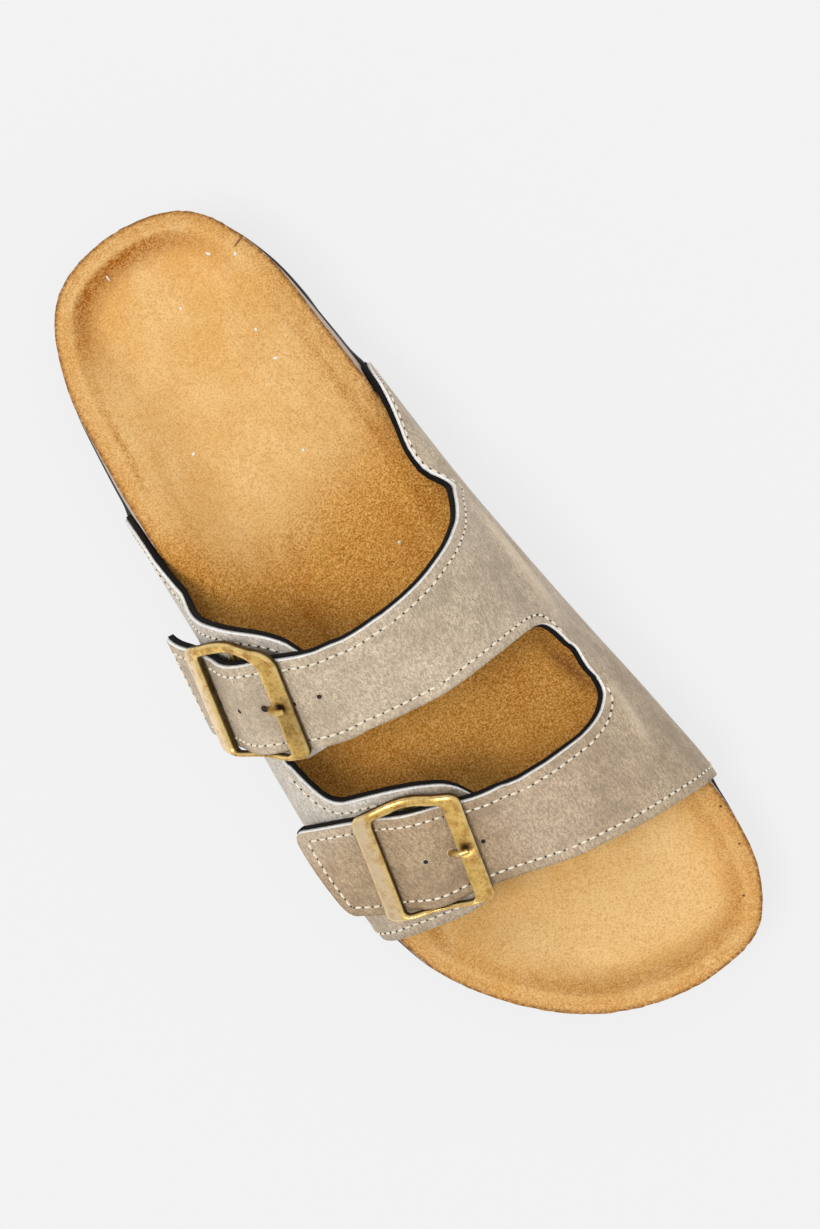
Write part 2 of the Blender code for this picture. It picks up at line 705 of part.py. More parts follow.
def make_strap_panel(material):
    """Medial side forked into two straps that run over the foot."""
    base = base_rows(PANEL, BASE_GIRTHS + (PANEL_FORK,), medial_point)
    legs = []
    for strap, rear, front in ((BACK, "rear", "back_inner"), (FRONT, "front_inner", "front")):
        leg = []
        for girth in LEG_GIRTHS:
            row = spread(PANEL.at(rear, girth), PANEL.at(front, girth), STRAP_COLUMNS)
            leg.append([medial_point(girth, station) for station in row])
        swings = list(np.linspace(0.0, strap.tip_swing, SWING_ROWS + 1)[1:])
        swings.insert(-1, swings[-1] - 1.4)
        for swing in swings:
            narrow = TIP_NARROW if swing == strap.tip_swing else 1.0
            leg.append([strap_point(strap, swing, across * narrow)
                        for across in spread(-1.0, 1.0, STRAP_COLUMNS)])
        legs.append(leg)
    links = fork_links(len(base) - 1)
    return shell("upper", [base] + legs, links, material)


def make_quarter(material):
    """Lateral side forked into two tabs that lie under the straps."""
    base = base_rows(QUARTER, QUARTER_GIRTHS + (QUARTER_FORK,), quarter_point)
    legs = []
    for girths, rear, front in ((BACK_TAB_GIRTHS + (BACK_TAB_END,), "rear", "back_inner"),
                                (FRONT_TAB_GIRTHS + (FRONT_TAB_END,), "front_inner", "front")):
        leg = []
        for girth in girths:
            row = spread(QUARTER.at(rear, girth), QUARTER.at(front, girth), STRAP_COLUMNS)
            leg.append([quarter_point(girth, station) for station in row])
        legs.append(leg)
    links = fork_links(len(base) - 1)
    return shell("quarter", [base] + legs, links, material)


def rounded_loop(half_long, half_wide, corners):
    """Rounded rectangle of (along, across) points, the same number on every bar and corner."""
    arcs = []
    for quarter, (sign_u, sign_v) in enumerate(((1, 1), (-1, 1), (-1, -1), (1, -1))):
        corner = corners[quarter]
        arc = []
        for step in range(CORNER_STEPS + 1):
            angle = math.pi / 2 * (quarter + step / CORNER_STEPS)
            arc.append((sign_u * (half_long - corner) + corner * math.cos(angle),
                        sign_v * (half_wide - corner) + corner * math.sin(angle)))
        arcs.append(arc)
    loop = []
    for quarter, arc in enumerate(arcs):
        last = arc[-1]
        following = arcs[(quarter + 1) % len(arcs)][0]
        loop += arc
        for step in range(1, BAR_STEPS):
            share = step / BAR_STEPS
            loop.append((last[0] + share * (following[0] - last[0]),
                         last[1] + share * (following[1] - last[1])))
    return loop


def corner_radii(strap, change):
    """Radii of a buckle's four corners, all changed by a step; the last is the rear medial one."""
    return [radius + change for radius in (OUTER_CORNER, OUTER_CORNER, OUTER_CORNER, strap.rear_corner)]


def make_buckle(name, strap, material, prong_cut):
    """Buckle frame: broad side bars, slim end bars that dip to the centre bar, and a prong notch."""
    half_long = BUCKLE_LONG / 2
    half_wide = BUCKLE_WIDE / 2
    window = half_long - SIDE_BAR
    inner_half = half_wide - (REAR_BAR + FRONT_BAR) / 2
    rings = []
    for outer, inset, rise in ((True, 0.3, 0.0), (True, 0.0, 0.3), (True, 0.0, 0.6),
                               (True, BAR_BEVEL, 1.0), (False, BAR_BEVEL, 1.0), (False, 0.0, 0.6),
                               (False, 0.0, 0.3), (False, 0.3, 0.0)):
        if outer:
            loop = rounded_loop(half_long - inset, half_wide - inset, corner_radii(strap, -inset))
        else:
            loop = [(u, v + (REAR_BAR - FRONT_BAR) / 2)
                    for u, v in rounded_loop(window + inset, inner_half + inset,
                                             corner_radii(strap, inset - CORNER_STEP))]
        ring = []
        for u, v in loop:
            ends = blend((abs(v) - DIP_FROM) / (inner_half - DIP_FROM))
            arch = max(0.0, 1.0 - (u / half_long) ** 2) * ends
            dip = max(0.0, 1.0 - (u / (window - DIP_INSET)) ** 2) ** DIP_BEND * ends
            bow = FRONT_BOW if v > 0 else -strap.rear_bow
            ring.append(on_seat(strap.seat, u, v + bow * arch + strap.buckle_shift,
                                SEAT_OUT + rise * BAR_THICK - END_DIP * dip))
        rings.append(ring)
    bm = bmesh.new()
    layers = [[bm.verts.new(point * MM) for point in ring] for ring in rings]
    for index, lower in enumerate(layers):
        upper = layers[(index + 1) % len(layers)]
        for i in range(len(lower)):
            j = (i + 1) % len(lower)
            bm.faces.new((lower[i], lower[j], upper[j], upper[i]))
    buckle = finish_mesh(name, bm, material, False)
    rear = half_wide - REAR_BAR / 2 + strap.rear_bow
    front = half_wide - FRONT_BAR / 2 + FRONT_BOW
    path = [(0.0, share * (front if share > 0 else rear) + strap.buckle_shift, out)
            for share, out in BAR_PATH]
    rod = tube(name + "_centre_bar", strap.seat, path, BAR_RADIUS, 12, material)
    combine(buckle, rod, "UNION")
    combine(buckle, prong_cut, "DIFFERENCE")
    return buckle


def tube(name, seat, path, radius, sides, material):
    """Round rod along a path of (along, across, out) points over a buckle's seat."""
    points = [on_seat(seat, *point) for point in path]
    rings = []
    for index, point in enumerate(points):
        run = points[min(index + 1, len(points) - 1)] - points[max(index - 1, 0)]
        run.normalize()
        side = run.cross(seat[3])
        if side.length < 0.2:
            side = run.cross(seat[2])
        side.normalize()
        other = side.cross(run)
        ring = []
        for step in range(sides):
            angle = 2 * math.pi * step / sides
            ring.append(point + side * (radius * math.cos(angle)) + other * (radius * math.sin(angle)))
        rings.append(ring)
    bm = bmesh.new()
    join_rings(bm, rings, True, True)
    return finish_mesh(name, bm, material, False)


def prong_path(extra):
    """Smooth path of the prong, made longer at both ends for its clearance cut."""
    last = PRONG_PATH.rows[-1, 0]
    path = [(PRONG_PATH.at("along", step), 0.0, PRONG_PATH.at("out", step))
            for step in np.linspace(0.0, last, PRONG_STEPS + 1)]
    path[0] = (path[0][0] - extra, 0.0, path[0][2])
    path[-1] = (path[-1][0] + extra, 0.0, path[-1][2])
    return path


def combine(thing, other, operation):
    """Join or cut with another solid, which stays as a hidden guide."""
    step = thing.modifiers.new(other.name, "BOOLEAN")
    step.operation = operation
    step.solver = "EXACT"
    step.object = other
    other.hide_render = True
    other.display_type = "WIRE"


def main():
    for thing in list(bpy.data.objects):
        bpy.data.objects.remove(thing)
    rubber = make_material("outsole_rubber", (0.020, 0.019, 0.018), 0.75, 0.0)
    cork = make_material("footbed_cork", (0.56, 0.42, 0.34), 0.85, 0.0)
    suede = make_material("insole_suede", (0.72, 0.42, 0.15), 0.92, 0.0)
    leather = make_material("upper_leather", (0.51, 0.41, 0.31), 0.55, 0.0)
    brass = make_material("buckle_brass", (0.50, 0.36, 0.18), 0.38, 1.0)
    make_outsole(rubber)
    make_footbed(cork)
    make_insole(suede)
    seat_strap(BACK)
    seat_strap(FRONT)
    upper = make_strap_panel(leather)
    combine(upper, make_quarter(leather), "UNION")
    for name, strap in (("back", BACK), ("front", FRONT)):
        cut = tube("prong_cut_" + name, strap.seat, prong_path(0.6), PRONG_RADIUS + PRONG_CLEAR, 10, brass)
        combine(upper, cut, "DIFFERENCE")
        tube("prong_" + name, strap.seat, prong_path(0.0), PRONG_RADIUS, 10, brass)
        make_buckle("buckle_" + name, strap, brass, cut)


main()
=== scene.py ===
"""Looks of the buckled slip-on sandal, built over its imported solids.

Across is +X to the lateral side, along is +Y to the toe, up is +Z.
Sizes are in millimetres and are scaled to metres where a mesh is made.
Stations are measured along the sole from the heel end of the footbed.
"""
import math

import bpy
import numpy as np
from mathutils import Matrix, Vector


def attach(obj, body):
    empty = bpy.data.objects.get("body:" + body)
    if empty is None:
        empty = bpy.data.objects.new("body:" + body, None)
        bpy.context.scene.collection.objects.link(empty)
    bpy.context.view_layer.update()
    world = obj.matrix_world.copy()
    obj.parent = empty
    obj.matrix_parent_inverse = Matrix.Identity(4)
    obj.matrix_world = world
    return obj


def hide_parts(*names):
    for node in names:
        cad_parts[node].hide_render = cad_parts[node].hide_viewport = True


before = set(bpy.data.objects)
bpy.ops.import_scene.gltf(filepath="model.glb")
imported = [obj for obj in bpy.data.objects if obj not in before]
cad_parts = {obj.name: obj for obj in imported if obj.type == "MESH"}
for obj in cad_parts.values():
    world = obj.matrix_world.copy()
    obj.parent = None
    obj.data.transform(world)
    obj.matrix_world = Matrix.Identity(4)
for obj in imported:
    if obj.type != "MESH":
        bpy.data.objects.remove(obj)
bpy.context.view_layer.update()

MM = 0.001

# Place of the shoe frame: the middle of the whole box, on the ground.
CENTRE_ACROSS = 0.23
CENTRE_STATION = 139.7

# Gaps and walls. The wall is a black lining under leather with a raw white edge.
GAP = 0.3
WALL = 2.6
OVERLAP = 0.5
INSOLE_THICK = 1.6
LINING = 1.7
LINING_SHOWS = 1.0
RAW_SHOWS = 0.5


class Table:
    """Smooth curves through the rows of a short table; the first column is the key."""

    def __init__(self, columns, rows):
        self.columns = columns
        self.rows = np.array(rows, dtype=float)
        self.steps = np.diff(self.rows[:, 0])
        slopes = np.diff(self.rows, axis=0) / self.steps[:, None]
        self.tangents = np.zeros_like(self.rows)
        self.tangents[0] = slopes[0]
        self.tangents[-1] = slopes[-1]
        for row in range(1, len(slopes)):
            near = 2 * self.steps[row] + self.steps[row - 1]
            far = self.steps[row] + 2 * self.steps[row - 1]
            for column in range(1, self.rows.shape[1]):
                before, after = slopes[row - 1, column], slopes[row, column]
                if before * after > 0:
                    self.tangents[row, column] = (near + far) / (near / before + far / after)

    def at(self, name, key):
        """Values of a column at keys, without overshoot between rows."""
        keys = self.rows[:, 0]
        column = self.columns.index(name)
        values = self.rows[:, column]
        slopes = self.tangents[:, column]
        key = np.clip(np.asarray(key, dtype=float), keys[0], keys[-1])
        row = np.clip(np.searchsorted(keys, key) - 1, 0, len(self.steps) - 1)
        t = (key - keys[row]) / self.steps[row]
        rise = values[row + 1] - values[row]
        bend = (slopes[row] * (1 - t) ** 2 * t - slopes[row + 1] * t ** 2 * (1 - t)) * self.steps[row]
        return values[row] + rise * t * t * (3 - 2 * t) + bend


# Edge of the footbed's top seen from above, lateral and medial of the heel's middle.
SOLE_EDGE = Table(("station", "lateral", "medial"), (
    (0, 0.0, 0.0),
    (3, 16.2, -16.8),
    (10, 25.7, -26.6),
    (30, 35.0, -35.2),
    (60, 39.1, -37.7),
    (100, 41.6, -39.8),
    (140, 45.4, -43.6),
    (180, 49.0, -48.2),
    (196, 49.8, -50.3),
    (210, 49.5, -51.9),
    (230, 45.6, -53.8),
    (245, 37.8, -54.0),
    (260, 25.3, -51.6),
    (270, 12.6, -46.6),
    (277, -3.0, -39.4),
    (280, -21.0, -21.0),
))

# Heights along the sole: its underside, top of the outsole, middle of the seat, top of the rim;
# how far its side flares from the rim to the ground.
SOLE_HEIGHT = Table(("station", "under", "deck", "seat", "rim", "flare"), (
    (0, 2.5, 10.5, 31.0, 36.5, 1.0),
    (14, 0.0, 10.0, 29.8, 37.5, 1.1),
    (40, 0.0, 10.0, 29.0, 37.5, 1.6),
    (62, 0.0, 10.0, 28.5, 37.5, 2.4),
    (90, 0.0, 10.0, 28.2, 37.0, 2.4),
    (130, 2.5, 11.0, 26.5, 35.0, 1.4),
    (165, 0.0, 9.0, 23.0, 31.0, 1.3),
    (195, 0.0, 8.0, 21.0, 27.5, 1.3),
    (222, 0.0, 8.0, 20.0, 25.5, 1.3),
    (245, 1.6, 9.1, 20.6, 26.0, 0.9),
    (265, 4.8, 11.8, 23.0, 28.0, 0.6),
    (280, 9.0, 15.5, 26.5, 31.0, 0.6),
))

# How far the outsole's edge stands out past the footbed's side; it carries the upper's wall.
LEDGE = Table(("station", "lateral", "medial"), (
    (0, 0.4, 0.4),
    (20, 0.4, 0.7),
    (44, 0.4, 0.7),
    (52, 0.4, 0.3),
    (64, 0.5, 0.3),
    (76, 2.6, 2.0),
    (84, 2.6, 2.6),
    (206, 2.6, 2.6),
    (218, 0.6, 2.6),
    (226, 0.4, 2.4),
    (238, 0.4, 0.5),
    (252, 0.2, 0.1),
    (280, 0.2, 0.2),
))

# Top of the insole: flat rim, its fall and the longer fall along the sides, rounded edge, medial arch.
# A span, here and below, is where a value starts, over what distance it rises, where it ends, and
# over what distance it falls.
RIM_FLAT = 4.0
RIM_FALL = 10.0
SIDE_FALL = 15.0
SIDE_FALL_SPAN = (16.0, 34.0, 238.0, 24.0)
EDGE_ROUND = 0.8
EDGE_REACH = 4.5
ARCH_RISE = 5.0
ARCH_MIDDLE = 118.0
ARCH_REACH = 55.0
ARCH_FROM = 4.0
ARCH_WIDE = 34.0

# Grid of the sole's pieces.
LOOP_POINTS = 440
LOOP_STEPS = 24
DEEP_INSET = 15.0
INSOLE_RINGS = 26
FOOTBED_RINGS = 8
OUTSOLE_RINGS = 14
OUTSOLE_INSET = 2.0
SHEET_COLUMNS = 60
CORK_ROWS = 14
CORK_TOP = 0.96

# Tread: depth and pitch of its grooves, how far and how often they wave, how much ground is left,
# how steep their sides are, and the plain margin round them.
TREAD_DEPTH = 1.1
TREAD_PITCH = 8.0
TREAD_WAVE = 2.2
TREAD_TURN = 5.5
TREAD_GROUND = 0.35
TREAD_SIDE = 0.4
TREAD_MARGIN = 5.0
TREAD_EASE = 1.5

# Edge of the outsole from the ground up: step out (below zero is inward) and share of its height.
WELT_PROFILE = (
    (-1.60, 0.00),
    (-0.90, 0.03),
    (-0.30, 0.09),
    (0.00, 0.18),
    (0.00, 0.40),
    (0.00, 0.62),
    (-0.25, 0.66),
    (-0.25, 0.71),
    (0.00, 0.75),
    (0.00, 0.88),
    (-0.20, 0.96),
    (-0.60, 1.00),
)

# Darkness of the groove inside the rim, by the distance round the edge from the heel's middle: partly
# darker pressed suede, partly painted shade in the hollow.
GROOVE = Table(("reach", "lateral", "medial"), (
    (0, 0.90, 0.90),
    (12, 0.96, 0.74),
    (24, 0.96, 0.40),
    (36, 0.62, 0.18),
    (50, 0.28, 0.08),
    (66, 0.10, 0.06),
    (110, 0.08, 0.14),
    (150, 0.08, 0.20),
    (235, 0.12, 0.18),
    (262, 0.30, 0.30),
    (300, 0.36, 0.38),
    (340, 0.36, 0.36),
))

# The groove's depth, spans of its dark core and its soft sides by the inset, and the shade of the rim.
GROOVE_SINK = 0.5
GROOVE_CORE = (4.8, 1.6, 7.6, 4.0)
GROOVE_FADE = (4.8, 2.2, 8.0, 7.0)
CORE_SHARE = 0.68
RIM_SHADE = 0.34
RIM_SHADE_FROM = 2.5
RIM_SHADE_EASE = 4.0

# Dark streaks on the suede, painted shade along its valleys and creases: both ends as across and station,
# width and depth.
STREAKS = (
    ((28.6, 36.0), (33.6, 70.0), 1.1, 0.50),
    ((25.5, 60.0), (29.5, 92.0), 1.6, 0.22),
    ((16.5, 114.0), (14.0, 133.0), 1.8, 0.45),
    ((35.5, 214.0), (39.5, 229.0), 2.2, 0.45),
    ((-29.5, 40.0), (-31.6, 80.0), 2.0, 0.32),
    ((-31.0, 70.0), (-33.0, 102.0), 2.2, 0.36),
    ((-32.4, 108.0), (-31.8, 132.0), 1.8, 0.50),
    ((-24.0, 106.0), (-21.5, 136.0), 2.2, 0.34),
    ((6.0, 102.0), (14.0, 131.0), 2.2, 0.34),
    ((17.0, 168.0), (12.0, 190.0), 2.2, 0.30),
)
STREAK_END = 0.08

# Painted shadow on the roll of the suede inside the medial rim, seen in the gap: both ends and width; its
# strength.
SHADOWED_ROLL = ((-36.0, 168.0), (-42.0, 194.0), 2.1)
ROLL_SHADOW = 1.0

# Painted shade on the suede under the straps: from the back strap, sooner along the lateral side, to the
# front strap.
UNDER_REAR = 84.0
UNDER_REAR_SLANT = 0.2
UNDER_REAR_EASE = 32.0
LATERAL_FROM = 20.0
LATERAL_LEAD = 1.5
UNDER_FRONT = 223.5
UNDER_FRONT_SLANT = 0.19
UNDER_FRONT_EASE = 6.0

# Rippled suede on the medial side of the heel, the cut edge, the toe and waist made paler with painted
# light, the frayed edge.
RIPPLE_SPAN = (22.0, 20.0, 88.0, 24.0)
RIPPLE_FROM = 2.0
RIPPLE_EASE = 18.0
CUT_EDGE = (1.0, 0.85, 0.25, 0.0)
TOE_PALE = 0.66
TOE_FROM = 226.0
TOE_EASE = 16.0
TOE_INSET = 8.0
TOE_INSET_EASE = 10.0
WAIST_PALE = 0.35
WAIST_PLACE = (-4.0, 84.0)
WAIST_REACH = (22.0, 34.0)
FRAY_SEED = 7
FRAY_MEAN = -0.05
FRAY_SPREAD = 0.08
FRAY_LIMITS = (-0.2, 0.1)

# Darker, warmer tone over the front strap, most on its lateral half.
WARM_FROM = 175.0
WARM_EASE = 15.0
WARM_LEAST = 0.5
WARM_ACROSS = -2.0
WARM_ACROSS_EASE = 14.0

# Soft creases of the leather: middle station and reach along, height, width, rise.
CREASES = (
    (146.0, 23.0, 49.0, 3.6, 1.50),
    (150.0, 18.0, 58.0, 3.6, -0.80),
    (201.0, 14.0, 47.0, 1.9, 0.80),
    (203.0, 13.0, 52.0, 2.4, -0.35),
    (176.0, 16.0, 41.0, 2.6, -0.40),
)

# Distance over which creases start from the middle, how strong the painted highlight on their ridges is,
# gap under the leather.
CREASE_EASE = 10.0
RIDGE_HIGHLIGHT = 0.60
LINING_SLACK = 0.02

# The arch over the foot: place and height of its crest, and radius of its lateral half.
ARCH = Table(("station", "crest_across", "crest_height", "radius"), (
    (60, 0.0, 96.0, 54.0),
    (100, -1.0, 94.0, 51.5),
    (120, -2.0, 91.0, 50.6),
    (136, -3.0, 86.5, 54.2),
    (152, -4.0, 81.5, 63.0),
    (167, -5.5, 76.0, 71.5),
    (182, -7.0, 70.5, 79.5),
    (197, -8.0, 65.5, 86.0),
    (212, -8.5, 61.7, 89.0),
    (235, -9.0, 57.0, 91.0),
))

# How far the wings of the upper behind the straps lean in over the sole, at a height above its rim.
WING = Table(("station", "medial", "lateral"), (
    (68, 0.0, 0.0),
    (78, 0.5, 1.2),
    (86, 1.7, 2.0),
    (94, 3.4, 1.9),
    (101, 4.6, 1.6),
    (107, 4.4, 1.1),
    (111.5, 3.2, 0.6),
    (115, 1.4, 0.2),
    (119, 0.0, 0.0),
))

# Section of the upper: lean of the wings, fullness of the medial half, shoulder of the lateral half,
# and how finely its lines are drawn.
WING_RISE = 8.0
WING_MOST = 1.3
WING_BEND = 1.2
SIDE_FULL = 0.52
TOP_FULL = 0.56
SIDE_LEAN = 0.10
SHOULDER = 14.0
SHOULDER_SHARE = 0.8
SHOULDER_PULL = 0.65
SHOULDER_STEPS = 14
CORNER_LIMIT = 0.985
CURVE_STEPS = 40
ARC_STEPS = 24

# Edges of the strap panel on the medial half: girth runs from the sole (0) to the crest (1).
PANEL = Table(("girth", "rear", "back_inner", "front_inner", "front"), (
    (0.00, 73.0, 174.5, 187.5, 232.0),
    (0.10, 74.0, 174.5, 187.5, 232.3),
    (0.20, 76.5, 174.5, 187.5, 232.3),
    (0.26, 81.0, 174.5, 187.5, 232.2),
    (0.30, 89.5, 174.5, 187.5, 232.1),
    (0.325, 101.0, 174.5, 187.5, 232.0),
    (0.345, 113.5, 174.5, 187.5, 231.9),
    (0.36, 117.3, 174.5, 187.5, 231.9),
    (0.43, 120.0, 174.5, 187.5, 231.5),
    (0.51, 124.3, 174.5, 187.5, 230.9),
    (0.52, 124.8, 170.4, 190.2, 230.8),
    (0.54, 125.8, 167.0, 192.6, 230.7),
    (0.57, 127.2, 165.3, 194.3, 230.4),
    (0.62, 128.9, 164.5, 196.3, 230.0),
    (0.68, 130.9, 164.3, 197.6, 229.5),
    (0.75, 132.8, 164.4, 198.3, 228.8),
    (0.88, 135.7, 164.6, 198.3, 227.1),
    (0.95, 136.5, 164.7, 197.9, 226.1),
    (1.00, 136.8, 164.6, 197.6, 225.3),
))
PANEL_FORK = 0.51

# Straps past the crest: swing in degrees round the arch, middle station, half width.
BACK_STRAP = Table(("swing", "station", "half"), (
    (0, 150.7, 13.9),
    (8, 150.0, 13.7),
    (14, 149.2, 13.7),
    (20, 147.8, 13.8),
    (27, 146.4, 14.4),
    (38, 142.2, 14.7),
    (52, 136.4, 14.5),
    (66, 131.2, 15.0),
    (80, 124.0, 14.9),
    (90, 117.8, 16.0),
))
FRONT_STRAP = Table(("swing", "station", "half"), (
    (0, 211.45, 13.85),
    (4, 209.75, 13.55),
    (8, 207.7, 13.4),
    (14, 204.75, 13.75),
    (19, 202.1, 14.6),
    (23.5, 199.75, 15.1),
    (34, 194.6, 15.1),
    (48.5, 186.9, 14.2),
))

# Swing over which a strap's rows turn square to it.
CREST_EASE = 14.0

# Edges of the lateral quarter: girth runs from the sole (0) to the crest (1). Its two tabs have
# rounded ends, and a narrower tongue of each runs on under the strap.
QUARTER = Table(("girth", "rear", "back_inner", "front_inner", "front"), (
    (0.00, 70.0, 154.4, 157.6, 213.5),
    (0.10, 74.0, 154.4, 157.6, 213.8),
    (0.20, 80.0, 154.4, 157.6, 214.4),
    (0.26, 88.0, 154.4, 157.6, 215.3),
    (0.31, 96.0, 154.4, 157.6, 216.3),
    (0.37, 101.8, 154.4, 157.6, 217.6),
    (0.44, 105.9, 154.4, 157.6, 218.8),
    (0.472, 107.6, 154.4, 157.6, 219.4),
    (0.480, 108.0, 154.7, 161.6, 219.6),
    (0.488, 108.4, 155.0, 166.2, 219.7),
    (0.498, 108.9, 155.5, 170.0, 219.9),
    (0.513, 109.7, 156.1, 172.6, 220.1),
    (0.540, 111.1, 157.2, 174.6, 220.5),
    (0.565, 112.5, 158.0, 175.4, 220.9),
    (0.63, 117.0, 158.2, 177.5, 221.6),
    (0.69, 121.7, 155.5, 179.7, 221.4),
    (0.725, 125.6, 153.8, 181.2, 219.5),
    (0.745, 128.9, 153.0, 182.1, 218.3),
    (0.757, 132.8, 152.5, 182.7, 217.6),
    (0.775, 137.5, 152.0, 183.7, 216.6),
    (0.82, 140.5, 151.0, 186.6, 214.4),
    (0.848, 142.0, 150.5, 190.0, 213.2),
    (0.862, 142.6, 150.2, 193.2, 212.6),
    (0.88, 143.5, 149.8, 197.0, 211.8),
    (0.95, 145.0, 148.5, 200.0, 209.5),
))

# Girths where the quarter forks and its tabs end; bow and wave of the end of a panel's gap.
QUARTER_FORK = 0.472
BACK_TAB_END = 0.90
FRONT_TAB_END = 0.95
FORK_BOW = 0.006
BOW_BEND = 4
PANEL_WAVE = 1.7
WAVE_BEND = 0.75

# Grid of the panels: columns of a strap and of the gap, rows of each stretch and how they bunch up;
# radius of a strap's tip corners.
STRAP_COLUMNS = 26
GAP_COLUMNS = 14
PANEL_BASE_ROWS = 90
PANEL_LEG_ROWS = 58
SWING_ROWS = 84
QUARTER_BASE_ROWS = 40
TAB_ROWS = 56
LEG_BUNCH = 1.25
TAB_BUNCH = 1.6
TIP_CORNER = 3.0

# Seats of the buckles: swing and shift of each, and the steps that find its axes, bend and run lengths.
BACK_SEAT = 52.0
FRONT_SEAT = 22.8
SEAT_NEAR = 4.0
SEAT_FAR = 10.0
SEAT_SIDE = 0.9
RUN_START = -2.0
RUN_STEPS = 120
BACK_SHIFT = -1.1
FRONT_SHIFT = -0.55

# Buckle frames: sizes along the strap, across it, and out from the arch; centre bar and prong's notch.
BUCKLE_LONG = 30.8
BUCKLE_WIDE = 34.2
SIDE_BAR = 5.4
REAR_BAR = 3.2
FRONT_BAR = 1.5
BAR_THICK = 2.8
BACK_BOW = 3.6
REAR_BOW = 2.6
FRONT_BOW = 0.5
OUTER_CORNER = 2.4
BACK_CORNER = 4.2
CORNER_STEP = 1.0
CORNER_STEPS = 10
BAR_STEPS = 60
SEAT_OUT = 5.5
END_DIP = 2.2
DIP_FROM = 8.0
DIP_INSET = 0.8
BAR_RADIUS = 1.25
ROD_SIDES = 20
ROD_TILT = 0.2
BAR_PATH = ((-1.0, 3.9), (-0.92, 3.4), (-0.85, 2.6), (0.0, 2.6), (0.95, 2.6), (1.0, 2.9))
SHARP_ANGLE = 24.0
NOTCH_DEPTH = 1.1
NOTCH_HALF = 1.7
NOTCH_IN = 3.1
NOTCH_ACROSS = -1.3
DIP_BEND = 1.6

# Wear and painted light of a buckle: its pale lateral bar, rubbed and partly a painted reflection, the
# brown of its medial bar, dirt with painted shade on its walls, and dirt on its rod.
WORN_REFLECTION_MOST = 0.80
WORN_REFLECTION_EASE = 2.0
WORN_REFLECTION_RISE = 0.5
BACK_PATINA = 0.42
FRONT_PATINA = 0.12
PATINA_EASE = 1.5
PATINA_ACROSS = 4.0
PATINA_REACH = 9.0
WALL_RISE = 0.65
WALL_SHADE_AND_DIRT = 0.9
ROD_DIRT = 0.3

# Section of a buckle's bar: share from its outer to its inner loop, inset, rise, how much it is rubbed.
BAR_PROFILE = (
    (0.0, 0.50, 0.00, 0.0),
    (0.0, 0.12, 0.12, 0.0),
    (0.0, 0.00, 0.30, 0.1),
    (0.0, 0.00, 0.58, 0.4),
    (0.0, 0.14, 0.78, 0.9),
    (0.0, 0.56, 0.96, 0.6),
    (0.0, 0.90, 1.00, 0.1),
    (0.2, 0.90, 1.02, 0.0),
    (0.4, 0.90, 1.03, 0.0),
    (0.6, 0.90, 1.03, 0.0),
    (0.8, 0.90, 1.02, 0.0),
    (1.0, 0.90, 1.00, 0.1),
    (1.0, 0.56, 0.96, 0.7),
    (1.0, 0.14, 0.78, 1.0),
    (1.0, 0.00, 0.58, 0.5),
    (1.0, 0.00, 0.30, 0.1),
    (1.0, 0.12, 0.12, 0.0),
    (1.0, 0.50, 0.00, 0.0),
)

# The strap by its buckle: lift under the side bars, hump over the centre bar, reach of both,
# and how far the free tip stands off, twists at its rear corner and is cut back along its front edge.
BED_LIFT = 2.3
BED_REACH = 17.5
BED_EASE = 15.0
HUMP_RISE = 2.2
HUMP_REACH = 10.0
BACK_FLARE = 1.2
BACK_TWIST = 2.2
FRONT_FLARE = 0.8
BACK_SLANT = 2.5
FRONT_SLANT = 8.0
SLANT_BEND = 1.6

# Seams of the quarter: edge, side of it, and the girths between which they run.
QUARTER_SEAMS = (
    ("rear", -1.0, 0.04, 0.74),
    ("back_inner", 1.0, 0.55, 0.66),
    ("front_inner", -1.0, 0.474, 0.84),
    ("front", 1.0, 0.04, 0.72),
)
SEAM_FOOT = 0.02
SEAM_STEPS = 160
LEG_SEAM_STEPS = 110
TIP_SEAM_STEPS = 40

# Lint on the insole: across, station, turn and length.
LINT = (
    (6.3, 8.6, 60.0, 2.2),
    (-21.1, 19.6, 120.0, 2.0),
    (-28.6, 25.0, 30.0, 1.4),
    (-5.8, 28.2, 80.0, 1.1),
    (-20.6, 46.2, 100.0, 1.3),
    (-21.5, 57.2, 20.0, 2.0),
    (14.7, 65.9, 10.0, 1.6),
    (-11.7, 83.0, 70.0, 1.4),
    (-19.5, 121.7, 45.0, 1.3),
)
LINT_SEED = 11
LINT_CURL = 0.25
LINT_ABOVE = 0.15
LINT_SIDES = 6
LINT_RADII = (0.25, 0.45, 0.50, 0.40, 0.225)

# Dark marks on the insole's rim: across, station, turn, length and width.
MARKS = (
    (-31.2, 23.1, 20.0, 4.6, 0.45),
    (-52.2, 240.7, 90.0, 0.9, 0.7),
    (-50.3, 252.8, 90.0, 0.8, 0.7),
    (-42.6, 266.0, 120.0, 0.9, 0.7),
)
MARK_SIDES = 14
MARK_LEVELS = (-0.3, 0.06)

# Path of the prong: along the strap from the centre bar, and out from the arch.
PRONG_PATH = Table(("step", "along", "out"), (
    (0, 1.9, 2.9),
    (1, 4.2, 3.3),
    (2, 6.4, 4.1),
    (3, 8.0, 5.6),
    (4, 9.3, 7.3),
    (5, 10.8, 7.9),
    (6, 12.9, 7.8),
))
PRONG_RADIUS = 0.95
PRONG_EASE = 0.35
PRONG_TIP = 0.72
PRONG_STEPS = 60
PRONG_SIDES = 18

# Wear of a prong: most, where it starts along it, and over what distance.
PRONG_RUBBED = (0.45, 8.0, 2.0)
PRONG_CLEANED = (0.35, 7.0, 3.0)
PRONG_DIRT = 0.45

